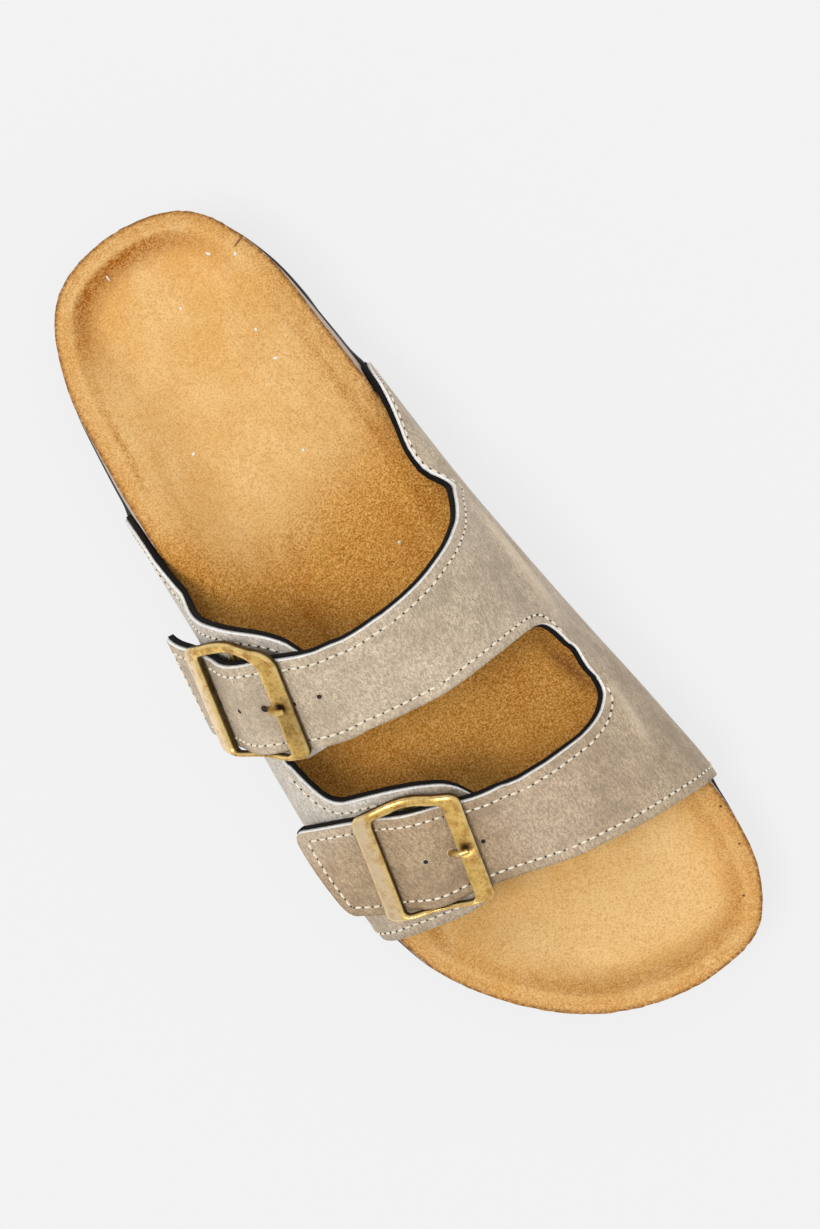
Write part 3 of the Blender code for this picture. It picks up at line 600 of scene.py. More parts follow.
# Stitching: spacing and size of the stitches, their form, and the needle holes between them.
STITCH_PITCH = 2.9
STITCH_LONG = 2.15
STITCH_RADIUS = 0.37
STITCH_INSET = 3.0
STITCH_SEED = 3
STITCH_START = 0.6
STITCH_STRAY = 0.08
STITCH_ROWS = 7
STITCH_SIDES = 6
STITCH_ENDS = 0.04
STITCH_TAPER = 0.6
STITCH_ARCH = 0.28
STITCH_SINK = 0.20
STITCH_FLAT = 1.1
PRICK_WIDE = 0.28
PRICK_LONG = 0.44
PRICK_LEVELS = (-0.3, 0.06)


class Strap:
    """One strap past the crest, with the place of its buckle."""

    def __init__(self, rows, buckle_swing, buckle_shift, rear_bow, rear_corner, tip):
        self.rows = rows
        self.buckle_swing = buckle_swing
        self.buckle_shift = buckle_shift
        self.rear_bow = rear_bow
        self.tip_swing = rows.rows[-1, 0]
        self.rear_corner = rear_corner
        self.tip_flare, self.tip_twist, self.tip_slant = tip
        self.seat = None
        self.runs = None

    def face(self, swing, across):
        """Points of its inner face."""
        return strap_point(self, swing, across)


BACK = Strap(BACK_STRAP, BACK_SEAT, BACK_SHIFT, BACK_BOW, BACK_CORNER,
             (BACK_FLARE, BACK_TWIST, BACK_SLANT))
FRONT = Strap(FRONT_STRAP, FRONT_SEAT, FRONT_SHIFT, REAR_BOW, OUTER_CORNER,
              (FRONT_FLARE, 0.0, FRONT_SLANT))

# Legs of the strap panel: strap, rear edge and front edge.
LEGS = ((BACK, "rear", "back_inner"), (FRONT, "front_inner", "front"))

# Punched holes: strap, swing, across (-1 to 1) and radius.
HOLES = (
    (BACK, 53.2, 0.0, 0.7),
    (BACK, 45.4, -0.02, 1.1),
    (BACK, 35.0, -0.04, 0.7),
    (BACK, 27.6, -0.09, 0.7),
    (FRONT, 22.4, 0.0, 0.7),
    (FRONT, 18.1, 0.01, 1.1),
    (FRONT, 11.9, -0.02, 0.7),
)
HOLE_SIDES = 16
HOLE_AIM = (0.0, 1.0, 0.2)
HOLE_LEVELS = (-0.5, 0.08)

# Lip of a hole: step out from the hole, and rise.
LIP_PROFILE = (
    (0.02, 0.00),
    (0.04, 0.18),
    (0.20, 0.22),
    (0.42, 0.00),
)

# Small step along a surface, and a height inside the upper that tells its outer side.
SMALL = 1e-3
INSIDE_HEIGHT = 30.0


def blend(value):
    """Soft step from 0 to 1."""
    value = np.clip(value, 0.0, 1.0)
    return value * value * (3.0 - 2.0 * value)


def unit(vectors):
    """Vectors of length one."""
    return vectors / np.maximum(np.linalg.norm(vectors, axis=-1, keepdims=True), 1e-9)


def hill(value, middle, width):
    """Soft bump of height one round a middle value."""
    return np.exp(-((value - middle) / width) ** 2)


def band(value, span):
    """Soft plateau of height one; the span is its start, rise, end and fall."""
    start, rise, end, fall = span
    return blend((value - start) / rise) * (1.0 - blend((value - end) / fall))


def lengths(points):
    """Length along a line up to each of its points."""
    return np.concatenate([[0.0], np.cumsum(np.linalg.norm(np.diff(points, axis=0), axis=1))])


def along_line(wanted, length, points):
    """Points at wanted lengths along a line."""
    return np.stack([np.interp(wanted, length, points[:, k]) for k in range(points.shape[1])], axis=-1)


def spot(across, station, height):
    """Points from three arrays of the same shape."""
    return np.stack(np.broadcast_arrays(across, station, height), axis=-1).astype(float)


def sole_loop(count):
    """Points round the footbed's edge with their outward directions, evenly spaced."""
    rows = SOLE_EDGE.rows
    lateral = [(row[1], row[0]) for row in rows]
    medial = [(row[2], row[0]) for row in rows[-2:0:-1]]
    knots = np.array(lateral + medial)
    fine = []
    for index in range(len(knots)):
        p0, p1, p2, p3 = (knots[(index + shift) % len(knots)] for shift in (-1, 0, 1, 2))
        k01, k12, k23 = (np.linalg.norm(b - a) ** 0.5 for a, b in ((p0, p1), (p1, p2), (p2, p3)))
        m1 = (p2 - p1) + k12 * ((p1 - p0) / k01 - (p2 - p0) / (k01 + k12))
        m2 = (p2 - p1) + k12 * ((p3 - p2) / k23 - (p3 - p1) / (k12 + k23))
        for t in np.linspace(0.0, 1.0, LOOP_STEPS, endpoint=False):
            a = 2 * t ** 3 - 3 * t ** 2 + 1
            b = t ** 3 - 2 * t ** 2 + t
            c = 3 * t ** 2 - 2 * t ** 3
            d = t ** 3 - t ** 2
            fine.append(a * p1 + b * m1 + c * p2 + d * m2)
    fine = np.array(fine)
    closed = np.vstack([fine, fine[:1]])
    length = lengths(closed)
    loop = along_line(np.linspace(0.0, length[-1], count, endpoint=False), length, closed)
    along = np.roll(loop, -1, axis=0) - np.roll(loop, 1, axis=0)
    return loop, unit(np.stack([along[:, 1], -along[:, 0]], axis=1))


def side_outset(station, height):
    """How far the drafted side of the sole stands out from its top edge."""
    under = SOLE_HEIGHT.at("under", station)
    rim = SOLE_HEIGHT.at("rim", station)
    return SOLE_HEIGHT.at("flare", station) * (rim - height) / (rim - under)


def foot_height(across, station, inset):
    """Top of the insole: raised rim, rounded edge, heel cup and medial arch."""
    rim = SOLE_HEIGHT.at("rim", station)
    seat = SOLE_HEIGHT.at("seat", station)
    swell = np.maximum(0.0, 1.0 - ((station - ARCH_MIDDLE) / ARCH_REACH) ** 2)
    seat = seat + ARCH_RISE * swell * blend((-across - ARCH_FROM) / ARCH_WIDE)
    edge = np.maximum(0.0, 1.0 - inset / EDGE_REACH)
    fall = RIM_FALL + SIDE_FALL * band(station, SIDE_FALL_SPAN)
    return rim + (seat - rim) * blend((inset - RIM_FLAT) / fall) - EDGE_ROUND * edge * edge


def edge_distance(places):
    """Distance of points over the sole from its edge."""
    loop, _ = sole_loop(LOOP_POINTS)
    return np.linalg.norm(places[:, None, :] - loop[None, :, :], axis=2).min(axis=1)


def sole_sheet(insets):
    """Points over the sole (across, station, inset) and their faces: rings at its edge, rows inside."""
    loop, outward = sole_loop(LOOP_POINTS)
    rings = np.concatenate([loop - outward * inset for inset in insets])
    first = len(rings) - LOOP_POINTS
    half = LOOP_POINTS // 2
    lateral = first + np.arange(1, half)
    medial = first + LOOP_POINTS - np.arange(1, half)
    share = np.linspace(0.0, 1.0, SHEET_COLUMNS + 1)[None, 1:-1, None]
    inner = rings[lateral][:, None, :] * (1.0 - share) + rings[medial][:, None, :] * share
    number = len(rings) + np.arange(inner[..., 0].size).reshape(inner.shape[:2])
    rows = np.hstack([lateral[:, None], number, medial[:, None]])
    faces = ring_faces(len(insets), LOOP_POINTS).tolist() + grid_faces(rows)[:, ::-1].tolist()
    faces += [[first, a, b] for a, b in zip(rows[0, :-1], rows[0, 1:])]
    faces += [[first + half, b, a] for a, b in zip(rows[-1, :-1], rows[-1, 1:])]
    places = np.vstack([rings, inner.reshape(-1, 2)])
    depth = np.concatenate([np.repeat(insets, LOOP_POINTS), edge_distance(places[len(rings):])])
    return places[:, 0], places[:, 1], depth, faces


def trace(lines, share):
    """Point at a share of the length of each of many lines."""
    steps = np.linalg.norm(np.diff(lines, axis=1), axis=2)
    length = np.concatenate([np.zeros((len(lines), 1)), np.cumsum(steps, axis=1)], axis=1)
    wanted = np.clip(share, 0.0, 1.0) * length[:, -1]
    index = np.clip((length <= wanted[:, None]).sum(axis=1) - 1, 0, lines.shape[1] - 2)
    rows = np.arange(len(lines))
    part = (wanted - length[rows, index]) / np.maximum(steps[rows, index], 1e-9)
    return lines[rows, index] + (lines[rows, index + 1] - lines[rows, index]) * part[:, None]


def bezier(p0, p1, p2, p3, steps):
    """Points on many cubic curves."""
    t = np.linspace(0.0, 1.0, steps)[None, :, None]
    p0, p1, p2, p3 = (p[:, None, :] for p in (p0, p1, p2, p3))
    return (1 - t) ** 3 * p0 + 3 * (1 - t) ** 2 * t * p1 + 3 * (1 - t) * t ** 2 * p2 + t ** 3 * p3


def wing_lean(side, station, above):
    """How far a wing leans in at a height above the rim."""
    return WING.at(side, station) * np.clip(above / WING_RISE, 0.0, WING_MOST) ** WING_BEND


def any_shape(surface):
    """Let a surface of two flat arrays take arrays of any shape."""

    def shaped(first, second):
        first, second = np.broadcast_arrays(np.asarray(first, float), np.asarray(second, float))
        return surface(first.ravel(), second.ravel()).reshape(*first.shape, 3)

    return shaped


@any_shape
def medial_point(girth, station):
    """Inner face of the upper's medial half, from the sole (0) to the crest (1)."""
    edge = SOLE_EDGE.at("medial", station) - GAP
    base = SOLE_HEIGHT.at("deck", station) + GAP
    rim = SOLE_HEIGHT.at("rim", station)
    crest = np.stack([ARCH.at("crest_across", station), ARCH.at("crest_height", station)], axis=1)
    rise = crest[:, 1] - rim
    foot = np.stack([edge - side_outset(station, base), base], axis=1)
    turn = np.stack([edge, rim], axis=1)
    side = np.stack([edge + SIDE_LEAN * SIDE_FULL * rise, rim + SIDE_FULL * rise], axis=1)
    top = np.stack([crest[:, 0] + TOP_FULL * (edge - crest[:, 0]), crest[:, 1]], axis=1)
    lines = np.concatenate([foot[:, None, :], bezier(turn, side, top, crest, CURVE_STEPS)], axis=1)
    place = trace(lines, girth)
    across = place[:, 0] + wing_lean("medial", station, place[:, 1] - rim)
    return spot(across, station, place[:, 1])


def swing_point(swing, station):
    """Inner face of a strap past the crest."""
    angle = np.radians(swing)
    radius = ARCH.at("radius", station)
    across = ARCH.at("crest_across", station) + radius * np.sin(angle)
    height = ARCH.at("crest_height", station) - radius + radius * np.cos(angle)
    return spot(across, station, height)


@any_shape
def quarter_point(girth, station):
    """Inner face of the lateral quarter: up the sole's side, round the shoulder, to the crest."""
    edge = SOLE_EDGE.at("lateral", station) + GAP
    base = SOLE_HEIGHT.at("deck", station) + GAP
    rim = SOLE_HEIGHT.at("rim", station)
    middle = ARCH.at("crest_across", station)
    radius = ARCH.at("radius", station) + OVERLAP - WALL
    centre = ARCH.at("crest_height", station) - ARCH.at("radius", station)
    corner = np.arcsin(np.minimum(CORNER_LIMIT, (edge - middle) / radius))
    top = centre + radius * np.cos(corner)
    turn = np.minimum(SHOULDER, SHOULDER_SHARE * (top - rim))
    after = corner - turn / radius
    start = np.stack([edge, top - turn], axis=1)
    end = np.stack([middle + radius * np.sin(after), centre + radius * np.cos(after)], axis=1)
    reach = SHOULDER_PULL * turn
    pull = np.stack([end[:, 0] + reach * np.cos(after), end[:, 1] - reach * np.sin(after)], axis=1)
    lift = np.stack([edge, top - turn + reach], axis=1)
    foot = np.stack([edge + side_outset(station, base), base], axis=1)
    ledge = np.stack([edge, rim], axis=1)
    angles = after[:, None] * np.linspace(1.0, 0.0, ARC_STEPS)[None, 1:]
    arc = np.stack([middle[:, None] + radius[:, None] * np.sin(angles),
                    centre[:, None] + radius[:, None] * np.cos(angles)], axis=2)
    shoulder = bezier(start, lift, pull, end, SHOULDER_STEPS)
    lines = np.concatenate([foot[:, None, :], ledge[:, None, :], shoulder, arc], axis=1)
    place = trace(lines, girth)
    across = place[:, 0] - wing_lean("lateral", station, place[:, 1] - rim)
    return spot(across, station, place[:, 1])


def strap_middle(strap, swing):
    """Points on the middle line of a strap, on the arch."""
    return swing_point(swing, strap.rows.at("station", swing))


def arch_point(strap, swing, across):
    """Points of a strap on the arch, on rows square to its middle line; across is -1 to 1."""
    swing, across = np.broadcast_arrays(np.asarray(swing, float), np.asarray(across, float))
    station = strap.rows.at("station", swing)
    middle = swing_point(swing, station)
    run = strap_middle(strap, swing + 1.0) - strap_middle(strap, swing - 1.0)
    round_arch = swing_point(swing + 1.0, station) - swing_point(swing - 1.0, station)
    along_sole = swing_point(swing, station + 1.0) - swing_point(swing, station - 1.0)
    ease = blend(swing / CREST_EASE)
    turn = -(along_sole * run).sum(axis=-1) / (round_arch * run).sum(axis=-1) * ease
    half = strap.rows.at("half", swing)
    side = np.copysign(half, across)
    full = np.linalg.norm(swing_point(swing + turn * side, station + side) - middle, axis=-1)
    stretch = 1.0 + (half / full - 1.0) * ease
    step = half * across * stretch
    return swing_point(swing + turn * step, station + step)


def seat_strap(strap):
    """Find a strap's buckle seat (middle, axes along, across and out, bend) and its run lengths."""
    swing = strap.buckle_swing
    middle = strap_middle(strap, swing)
    along = unit(strap_middle(strap, swing - SEAT_NEAR) - strap_middle(strap, swing + SEAT_NEAR))
    across = arch_point(strap, swing, SEAT_SIDE) - arch_point(strap, swing, -SEAT_SIDE)
    across = unit(across - along * across.dot(along))
    out = np.cross(across, along)
    if out[2] < 0:
        out = -out
    before, after = strap_middle(strap, swing - SEAT_FAR), strap_middle(strap, swing + SEAT_FAR)
    chord = np.linalg.norm(before - after)
    sag = np.linalg.norm(middle - (before + after) / 2)
    strap.seat = (middle, along, across, out, chord * chord / (8 * sag))
    swings = np.linspace(RUN_START, strap.tip_swing, RUN_STEPS)
    runs = lengths(strap_middle(strap, swings))
    strap.runs = (swings, runs - np.interp(swing, swings, runs))


def on_seat(seat, along, across, out):
    """Points over a buckle's seat, bent with the strap."""
    middle, along_axis, across_axis, out_axis, bend = seat
    along, across, out = np.broadcast_arrays(*(np.asarray(v, float) for v in (along, across, out)))
    angle = along / bend
    reach = (bend + out) * np.sin(angle)
    rise = (bend + out) * np.cos(angle) - bend
    return (middle + reach[..., None] * along_axis + across[..., None] * across_axis
            + rise[..., None] * out_axis)


def strap_point(strap, swing, across):
    """Inner face of a strap: on the arch, then on the buckle's seat out to the tip."""
    swing, across = np.broadcast_arrays(np.asarray(swing, float), np.asarray(across, float))
    run = np.interp(swing, *strap.runs)
    near = (1.0 - blend((-run - BED_REACH) / BED_EASE))[..., None]
    hump = np.cos(math.pi * np.minimum(1.0, np.abs(run) / HUMP_REACH) / 2) ** 2
    away = blend((run - BED_REACH) / (strap.runs[1][-1] - BED_REACH))
    flare = strap.tip_flare + strap.tip_twist * (0.5 - 0.5 * across)
    lift = BED_LIFT + HUMP_RISE * hump + flare * away
    half = strap.rows.at("half", swing)
    slant = strap.tip_slant * away * np.clip(0.5 + 0.5 * across, 0.0, 1.0) ** SLANT_BEND
    seated = on_seat(strap.seat, slant - run, half * across, lift)
    return seated * near + arch_point(strap, swing, across) * (1.0 - near)


def grid_faces(index):
    """Quads of a grid of point numbers."""
    corners = (index[:-1, :-1], index[:-1, 1:], index[1:, 1:], index[1:, :-1])
    return np.stack(corners, axis=-1).reshape(-1, 4)


def fork_faces(base_rows, leg_rows):
    """Faces of a panel: a base, and two legs that start from its last row on both sides of the gap."""
    columns = 2 * STRAP_COLUMNS + GAP_COLUMNS + 1
    base = np.arange(base_rows * columns).reshape(base_rows, columns)
    faces = [grid_faces(base)]
    start = base.size
    for rows, first in zip(leg_rows, (0, STRAP_COLUMNS + GAP_COLUMNS)):
        leg = start + np.arange(rows * (STRAP_COLUMNS + 1)).reshape(rows, STRAP_COLUMNS + 1)
        start += leg.size
        joined = np.vstack([base[-1, first:first + STRAP_COLUMNS + 1], leg])
        faces.append(grid_faces(joined))
    return np.vstack(faces)


def fork_base(edges, girths, margin, point, wave):
    """Base of a panel; the end of the gap is hollow, with a wave, and the margin widens the rear edges."""
    leg = np.linspace(0.0, 1.0, STRAP_COLUMNS + 1)
    gap = np.linspace(0.0, 1.0, GAP_COLUMNS + 1)[1:-1]
    rear, back, inner, front = (edges.at(name, girths)[:, None] for name in edges.columns[1:])
    rear = rear - margin
    inner = inner - margin
    spans = ((rear, back, leg), (back, inner, gap), (inner, front, leg))
    stations = np.hstack([start + (end - start) * share for start, end, share in spans])
    curve = np.sin(math.pi * gap) + wave * np.sin(2 * math.pi * gap ** WAVE_BEND)
    hollow = np.concatenate([0 * leg, curve, 0 * leg])
    bow = FORK_BOW * (girths / girths[-1]) ** BOW_BEND
    return point(girths[:, None] - bow[:, None] * hollow, stations)


def strap_swings(strap):
    """Swings of a strap's rows and how much its rounded tip narrows them."""
    swings = np.linspace(0.0, strap.tip_swing, SWING_ROWS + 1)[1:]
    last = np.interp(swings[-1], *strap.runs)
    left = np.maximum(last - np.interp(swings, *strap.runs), 0.0)
    into = np.clip(1.0 - left / TIP_CORNER, 0.0, 1.0)
    half = strap.rows.at("half", swings)
    return swings, 1.0 - TIP_CORNER / half * (1.0 - np.sqrt(1.0 - into ** 2))


def panel_points(margin):
    """Inner face of the strap panel: medial base, two legs, and the straps past the crest."""
    girths = np.linspace(0.0, PANEL_FORK, PANEL_BASE_ROWS)
    base = fork_base(PANEL, girths, margin, medial_point, PANEL_WAVE)
    parts = [base.reshape(-1, 3)]
    rows = np.linspace(0.0, 1.0, PANEL_LEG_ROWS + 1)[1:] ** LEG_BUNCH
    girths = PANEL_FORK + (1.0 - PANEL_FORK) * rows
    share = np.linspace(0.0, 1.0, STRAP_COLUMNS + 1)
    for strap, rear, front in LEGS:
        start = PANEL.at(rear, girths)[:, None] - margin
        end = PANEL.at(front, girths)[:, None]
        parts.append(medial_point(girths[:, None], start + (end - start) * share).reshape(-1, 3))
        swings, narrow = strap_swings(strap)
        half = strap.rows.at("half", swings)[:, None]
        across = (-1.0 - margin / half) + (2.0 + margin / half) * share
        parts.append(strap_point(strap, swings[:, None], across * narrow[:, None]).reshape(-1, 3))
    return np.vstack(parts)


def quarter_points(margin):
    """Inner face of the lateral quarter: base and two tabs."""
    girths = np.linspace(0.0, QUARTER_FORK, QUARTER_BASE_ROWS)
    base = fork_base(QUARTER, girths, margin, quarter_point, 0.0)
    parts = [base.reshape(-1, 3)]
    across = np.linspace(0.0, 1.0, STRAP_COLUMNS + 1)
    rows = np.linspace(0.0, 1.0, TAB_ROWS + 1)[1:, None] ** TAB_BUNCH
    for last, (_, rear, front) in zip((BACK_TAB_END, FRONT_TAB_END), LEGS):
        girths = QUARTER_FORK + (last - QUARTER_FORK) * rows
        start = QUARTER.at(rear, girths) - margin
        end = QUARTER.at(front, girths)
        parts.append(quarter_point(girths, start + across * (end - start)).reshape(-1, 3))
    return np.vstack(parts)


def normals_of(points, faces):
    """Outward direction at every point of an open sheet."""
    a, b, c, d = (points[faces[:, k]] for k in range(4))
    flat = np.cross(c - a, d - b)
    total = np.zeros_like(points)
    for k in range(4):
        np.add.at(total, faces[:, k], flat)
    total = unit(total)
    highest = int(np.argmax(points[:, 2]))
    return total if total[highest, 2] > 0 else -total


def mesh_object(name, points, faces, materials, face_materials=None):
    """Object from points in millimetres of the sole's own measures."""
    mesh = bpy.data.meshes.new(name)
    shift = np.array([CENTRE_ACROSS, CENTRE_STATION, 0.0])
    mesh.from_pydata(((points - shift) * MM).tolist(), [], [list(face) for face in faces])
    for material in materials:
        mesh.materials.append(material)
    if face_materials is not None:
        mesh.polygons.foreach_set("material_index", np.asarray(face_materials, dtype=np.int32))
    mesh.polygons.foreach_set("use_smooth", np.full(len(mesh.polygons), True))
    mesh.validate()
    mesh.update()
    thing = bpy.data.objects.new(name, mesh)
    bpy.context.scene.collection.objects.link(thing)
    return thing


def add_piece(thing, slot, *nodes):
    """A piece of the shoe that may stand for solids of the frame."""
    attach(thing, "root")
    if nodes:
        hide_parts(*nodes)
    return thing


def set_values(thing, name, values):
    """Named value for every point of a piece."""
    layer = thing.data.attributes.new(name, "FLOAT", "POINT")
    layer.data.foreach_set("value", np.asarray(values, dtype=np.float32))


def rim_edges(faces):
    """Edges of an open sheet's border, in the direction of their faces."""
    edges = np.vstack([np.stack([faces[:, k], faces[:, (k + 1) % 4]], axis=1) for k in range(4)])
    low, high = edges.min(axis=1), edges.max(axis=1)
    key = low.astype(np.int64) * (faces.max() + 1) + high
    _, index, counts = np.unique(key, return_index=True, return_counts=True)
    return edges[index[counts == 1]]


def shell(name, faces, outer, inner, materials):
    """Closed wall between two sheets with the same faces: outer face, inner face and rim."""
    count = len(outer)
    a, b, c, d = (outer[faces[:, k]] for k in range(4))
    facing = (np.cross(c - a, d - b) * (outer - inner)[faces[:, 0]]).sum()
    if facing < 0:
        faces = faces[:, ::-1]
    rim = rim_edges(faces)
    border = np.stack([rim[:, 1], rim[:, 0], rim[:, 0] + count, rim[:, 1] + count], axis=1)
    every = np.vstack([faces, faces[:, ::-1] + count, border])
    last = len(materials) - 1
    kinds = np.repeat((0, min(1, last), last), (len(faces), len(faces), len(border)))
    return mesh_object(name, np.vstack([outer, inner]), every, materials, kinds)


def ring_faces(rings, count):
    """Quads between closed rings of points that follow each other."""
    index = np.arange(rings * count).reshape(rings, count)
    return grid_faces(np.hstack([index, index[:, :1]]))


def sole_solid(name, low, high, faces, edge, material):
    """Closed solid between two sheets of the sole, with rings of points round its side."""
    count = len(low)
    chain = [np.arange(LOOP_POINTS)]
    chain += [2 * count + k * LOOP_POINTS + np.arange(LOOP_POINTS) for k in range(len(edge))]
    chain.append(count + np.arange(LOOP_POINTS))
    index = np.array(chain)
    side = grid_faces(np.hstack([index, index[:, :1]])).tolist()
    every = [face[::-1] for face in faces] + [[k + count for k in face] for face in faces] + side
    return mesh_object(name, np.vstack([low, high, *edge]), every, [material])


# Noises of the surfaces: size in millimetres, detail, roughness, stretch, and the range of it that shows.
EVEN = None
NOISES = {
    "leather_cloud": (22.0, 2.0, 0.5, EVEN, 0.34, 0.66),
    "leather_patch": (7.0, 2.0, 0.5, EVEN, 0.34, 0.66),
    "leather_fine": (0.52, 3.0, 0.65, EVEN, 0.45, 0.62),
    "leather_stroke": (0.66, 3.0, 0.65, (1.0, 0.40, 1.0), 0.43, 0.62),
    "leather_fold": (5.0, 4.0, 0.6, (1.0, 0.5, 1.0), 0.0, 0.07),
    "suede_speck": (0.54, 3.0, 0.7, EVEN, 0.44, 0.66),
    "suede_nap": (2.4, 3.0, 0.75, EVEN, 0.48, 0.70),
    "suede_brushed": (4.2, 3.0, 0.6, (1.0, 0.35, 1.0), 0.40, 0.70),
    "suede_cloud": (18.0, 4.0, 0.65, EVEN, 0.35, 0.65),
    "suede_ragged": (1.0, 2.0, 0.7, EVEN, 0.40, 0.56),
    "suede_ripple": (1.2, 2.0, 0.5, (1.0, 0.55, 1.0), 0.0, 1.0),
    "cork_fleck": (1.2, 4.0, 0.8, (1.0, 1.0, 1.6), 0.56, 0.66),
    "cork_blend": (0.8, 4.0, 0.7, EVEN, 0.35, 0.70),
    "cork_relief": (1.2, 4.0, 0.7, EVEN, 0.0, 1.0),
    "rubber_dust": (14.0, 4.0, 0.65, EVEN, 0.42, 0.72),
    "rubber_grain": (0.7, 3.0, 0.6, EVEN, 0.0, 1.0),
    "brass_stain": (3.4, 5.0, 0.7, EVEN, 0.42, 0.66),
    "brass_spots": (1.0, 4.0, 0.75, EVEN, 0.50, 0.66),
    "brass_fine": (0.5, 3.0, 0.7, EVEN, 0.0, 1.0),
    "lining_cloth": (0.5, 3.0, 0.7, EVEN, 0.35, 0.70),
    "raw_edge": (0.8, 4.0, 0.7, EVEN, 0.40, 0.70),
    "thread": (0.35, 2.0, 0.6, EVEN, 0.38, 0.72),
    "hole_dark": (0.3, 2.0, 0.6, EVEN, 0.0, 1.0),
    "lint": (0.4, 3.0, 0.7, EVEN, 0.35, 0.70),
    "rim_mark": (0.5, 3.0, 0.7, EVEN, 0.35, 0.70),
}
NOISE_MIDDLE = 0.5

# Plain surfaces: colour, roughness, both tones of their grain, and its relief.
PLAIN = {
    "lining_cloth": ((0.008, 0.007, 0.006), 0.95, (0.005, 0.004, 0.004), (0.013, 0.011, 0.010), 0.15),
    "raw_edge": ((0.84, 0.82, 0.78), 0.90, (0.97, 0.96, 0.94), (0.80, 0.75, 0.68), 0.12),
    "thread": ((0.88, 0.80, 0.64), 0.75, (0.97, 0.91, 0.78), (0.70, 0.58, 0.40), 0.08),
    "lint": ((0.90, 0.86, 0.76), 0.95, (1.0, 0.99, 0.95), (0.92, 0.86, 0.74), 0.10),
    "rim_mark": ((0.20, 0.085, 0.030), 0.95, (0.14, 0.055, 0.018), (0.36, 0.17, 0.06), 0.10),
}

# Leather: light, middle and dark tone of each panel, strength of its grain, and shares of the tones.
STRAP_TONES = ((0.885, 0.72, 0.53), (0.755, 0.605, 0.435), (0.565, 0.44, 0.308))
# The quarter's tones are paler: a rougher, greyer leather, and painted light on its lateral side.
QUARTER_LIT_TONES = ((0.95, 0.87, 0.76), (0.86, 0.77, 0.66), (0.69, 0.60, 0.495))
STRAP_GRAIN = 1.05
QUARTER_GRAIN = 1.15
WARM_TINT = (0.74, 0.65, 0.54)
DEEP_TONE = 0.62
PATCH_SHARE = 0.55
CRINKLE_SHARE = 0.14
GRAIN_SHARE = 0.58

# Suede: tones of the open nap, of its specks and dips, of the painted light on toe and waist, and of the
# painted shade under the straps; shares of the tones.
SUEDE = (0.88, 0.52, 0.20)
SUEDE_LIGHT = (0.94, 0.60, 0.25)
SUEDE_MID = (0.84, 0.475, 0.155)
SUEDE_PALE = (1.0, 0.68, 0.31)
SUEDE_RUST = (0.56, 0.245, 0.048)
SUEDE_DEEP = (0.41, 0.125, 0.003)
SUEDE_SHADE = (0.27, 0.095, 0.008)
SUEDE_CUT_AND_SHADOW = (0.26, 0.105, 0.028)
PAINTED_SHADE_TINT = (0.87, 0.66, 0.32)
BRUSH_SHARE = 0.45
NAP_SHARE = 0.22
OPEN_GRIP = 0.58
PAINTED_SHADE_GRIP = 0.30

# Cork, rubber, holes and floor.
CORK = (0.60, 0.47, 0.39)
CORK_LIGHT = (0.67, 0.53, 0.435)
CORK_DARK = (0.575, 0.435, 0.345)
CORK_MID = (0.60, 0.46, 0.37)
CORK_FLECK = (0.20, 0.115, 0.065)
RUBBER = (0.018, 0.017, 0.016)
RUBBER_CLEAN = (0.013, 0.012, 0.012)
RUBBER_DUSTY = (0.030, 0.028, 0.026)
HOLE = (0.020, 0.015, 0.012)
HOLE_DARK = (0.012, 0.010, 0.008)
HOLE_DUSTY = (0.035, 0.026, 0.020)
FLOOR = (0.10, 0.10, 0.10)

# Brass: clean, brown and spotted, worn with a painted reflection, rubbed bright, dirty with painted shade;
# how much the dirt dulls it.
BRASS = (0.62, 0.40, 0.13)
BRASS_CLEAN = (1.0, 0.65, 0.20)
BRASS_BROWN = (0.54, 0.295, 0.075)
BRASS_SPOT = (0.26, 0.130, 0.040)
BRASS_WORN_REFLECTION = (1.0, 0.80, 0.56)
BRASS_RUBBED = (1.0, 0.76, 0.34)
BRASS_DIRT_AND_SHADE = (0.026, 0.015, 0.007)
DIRT_DULL = 0.35


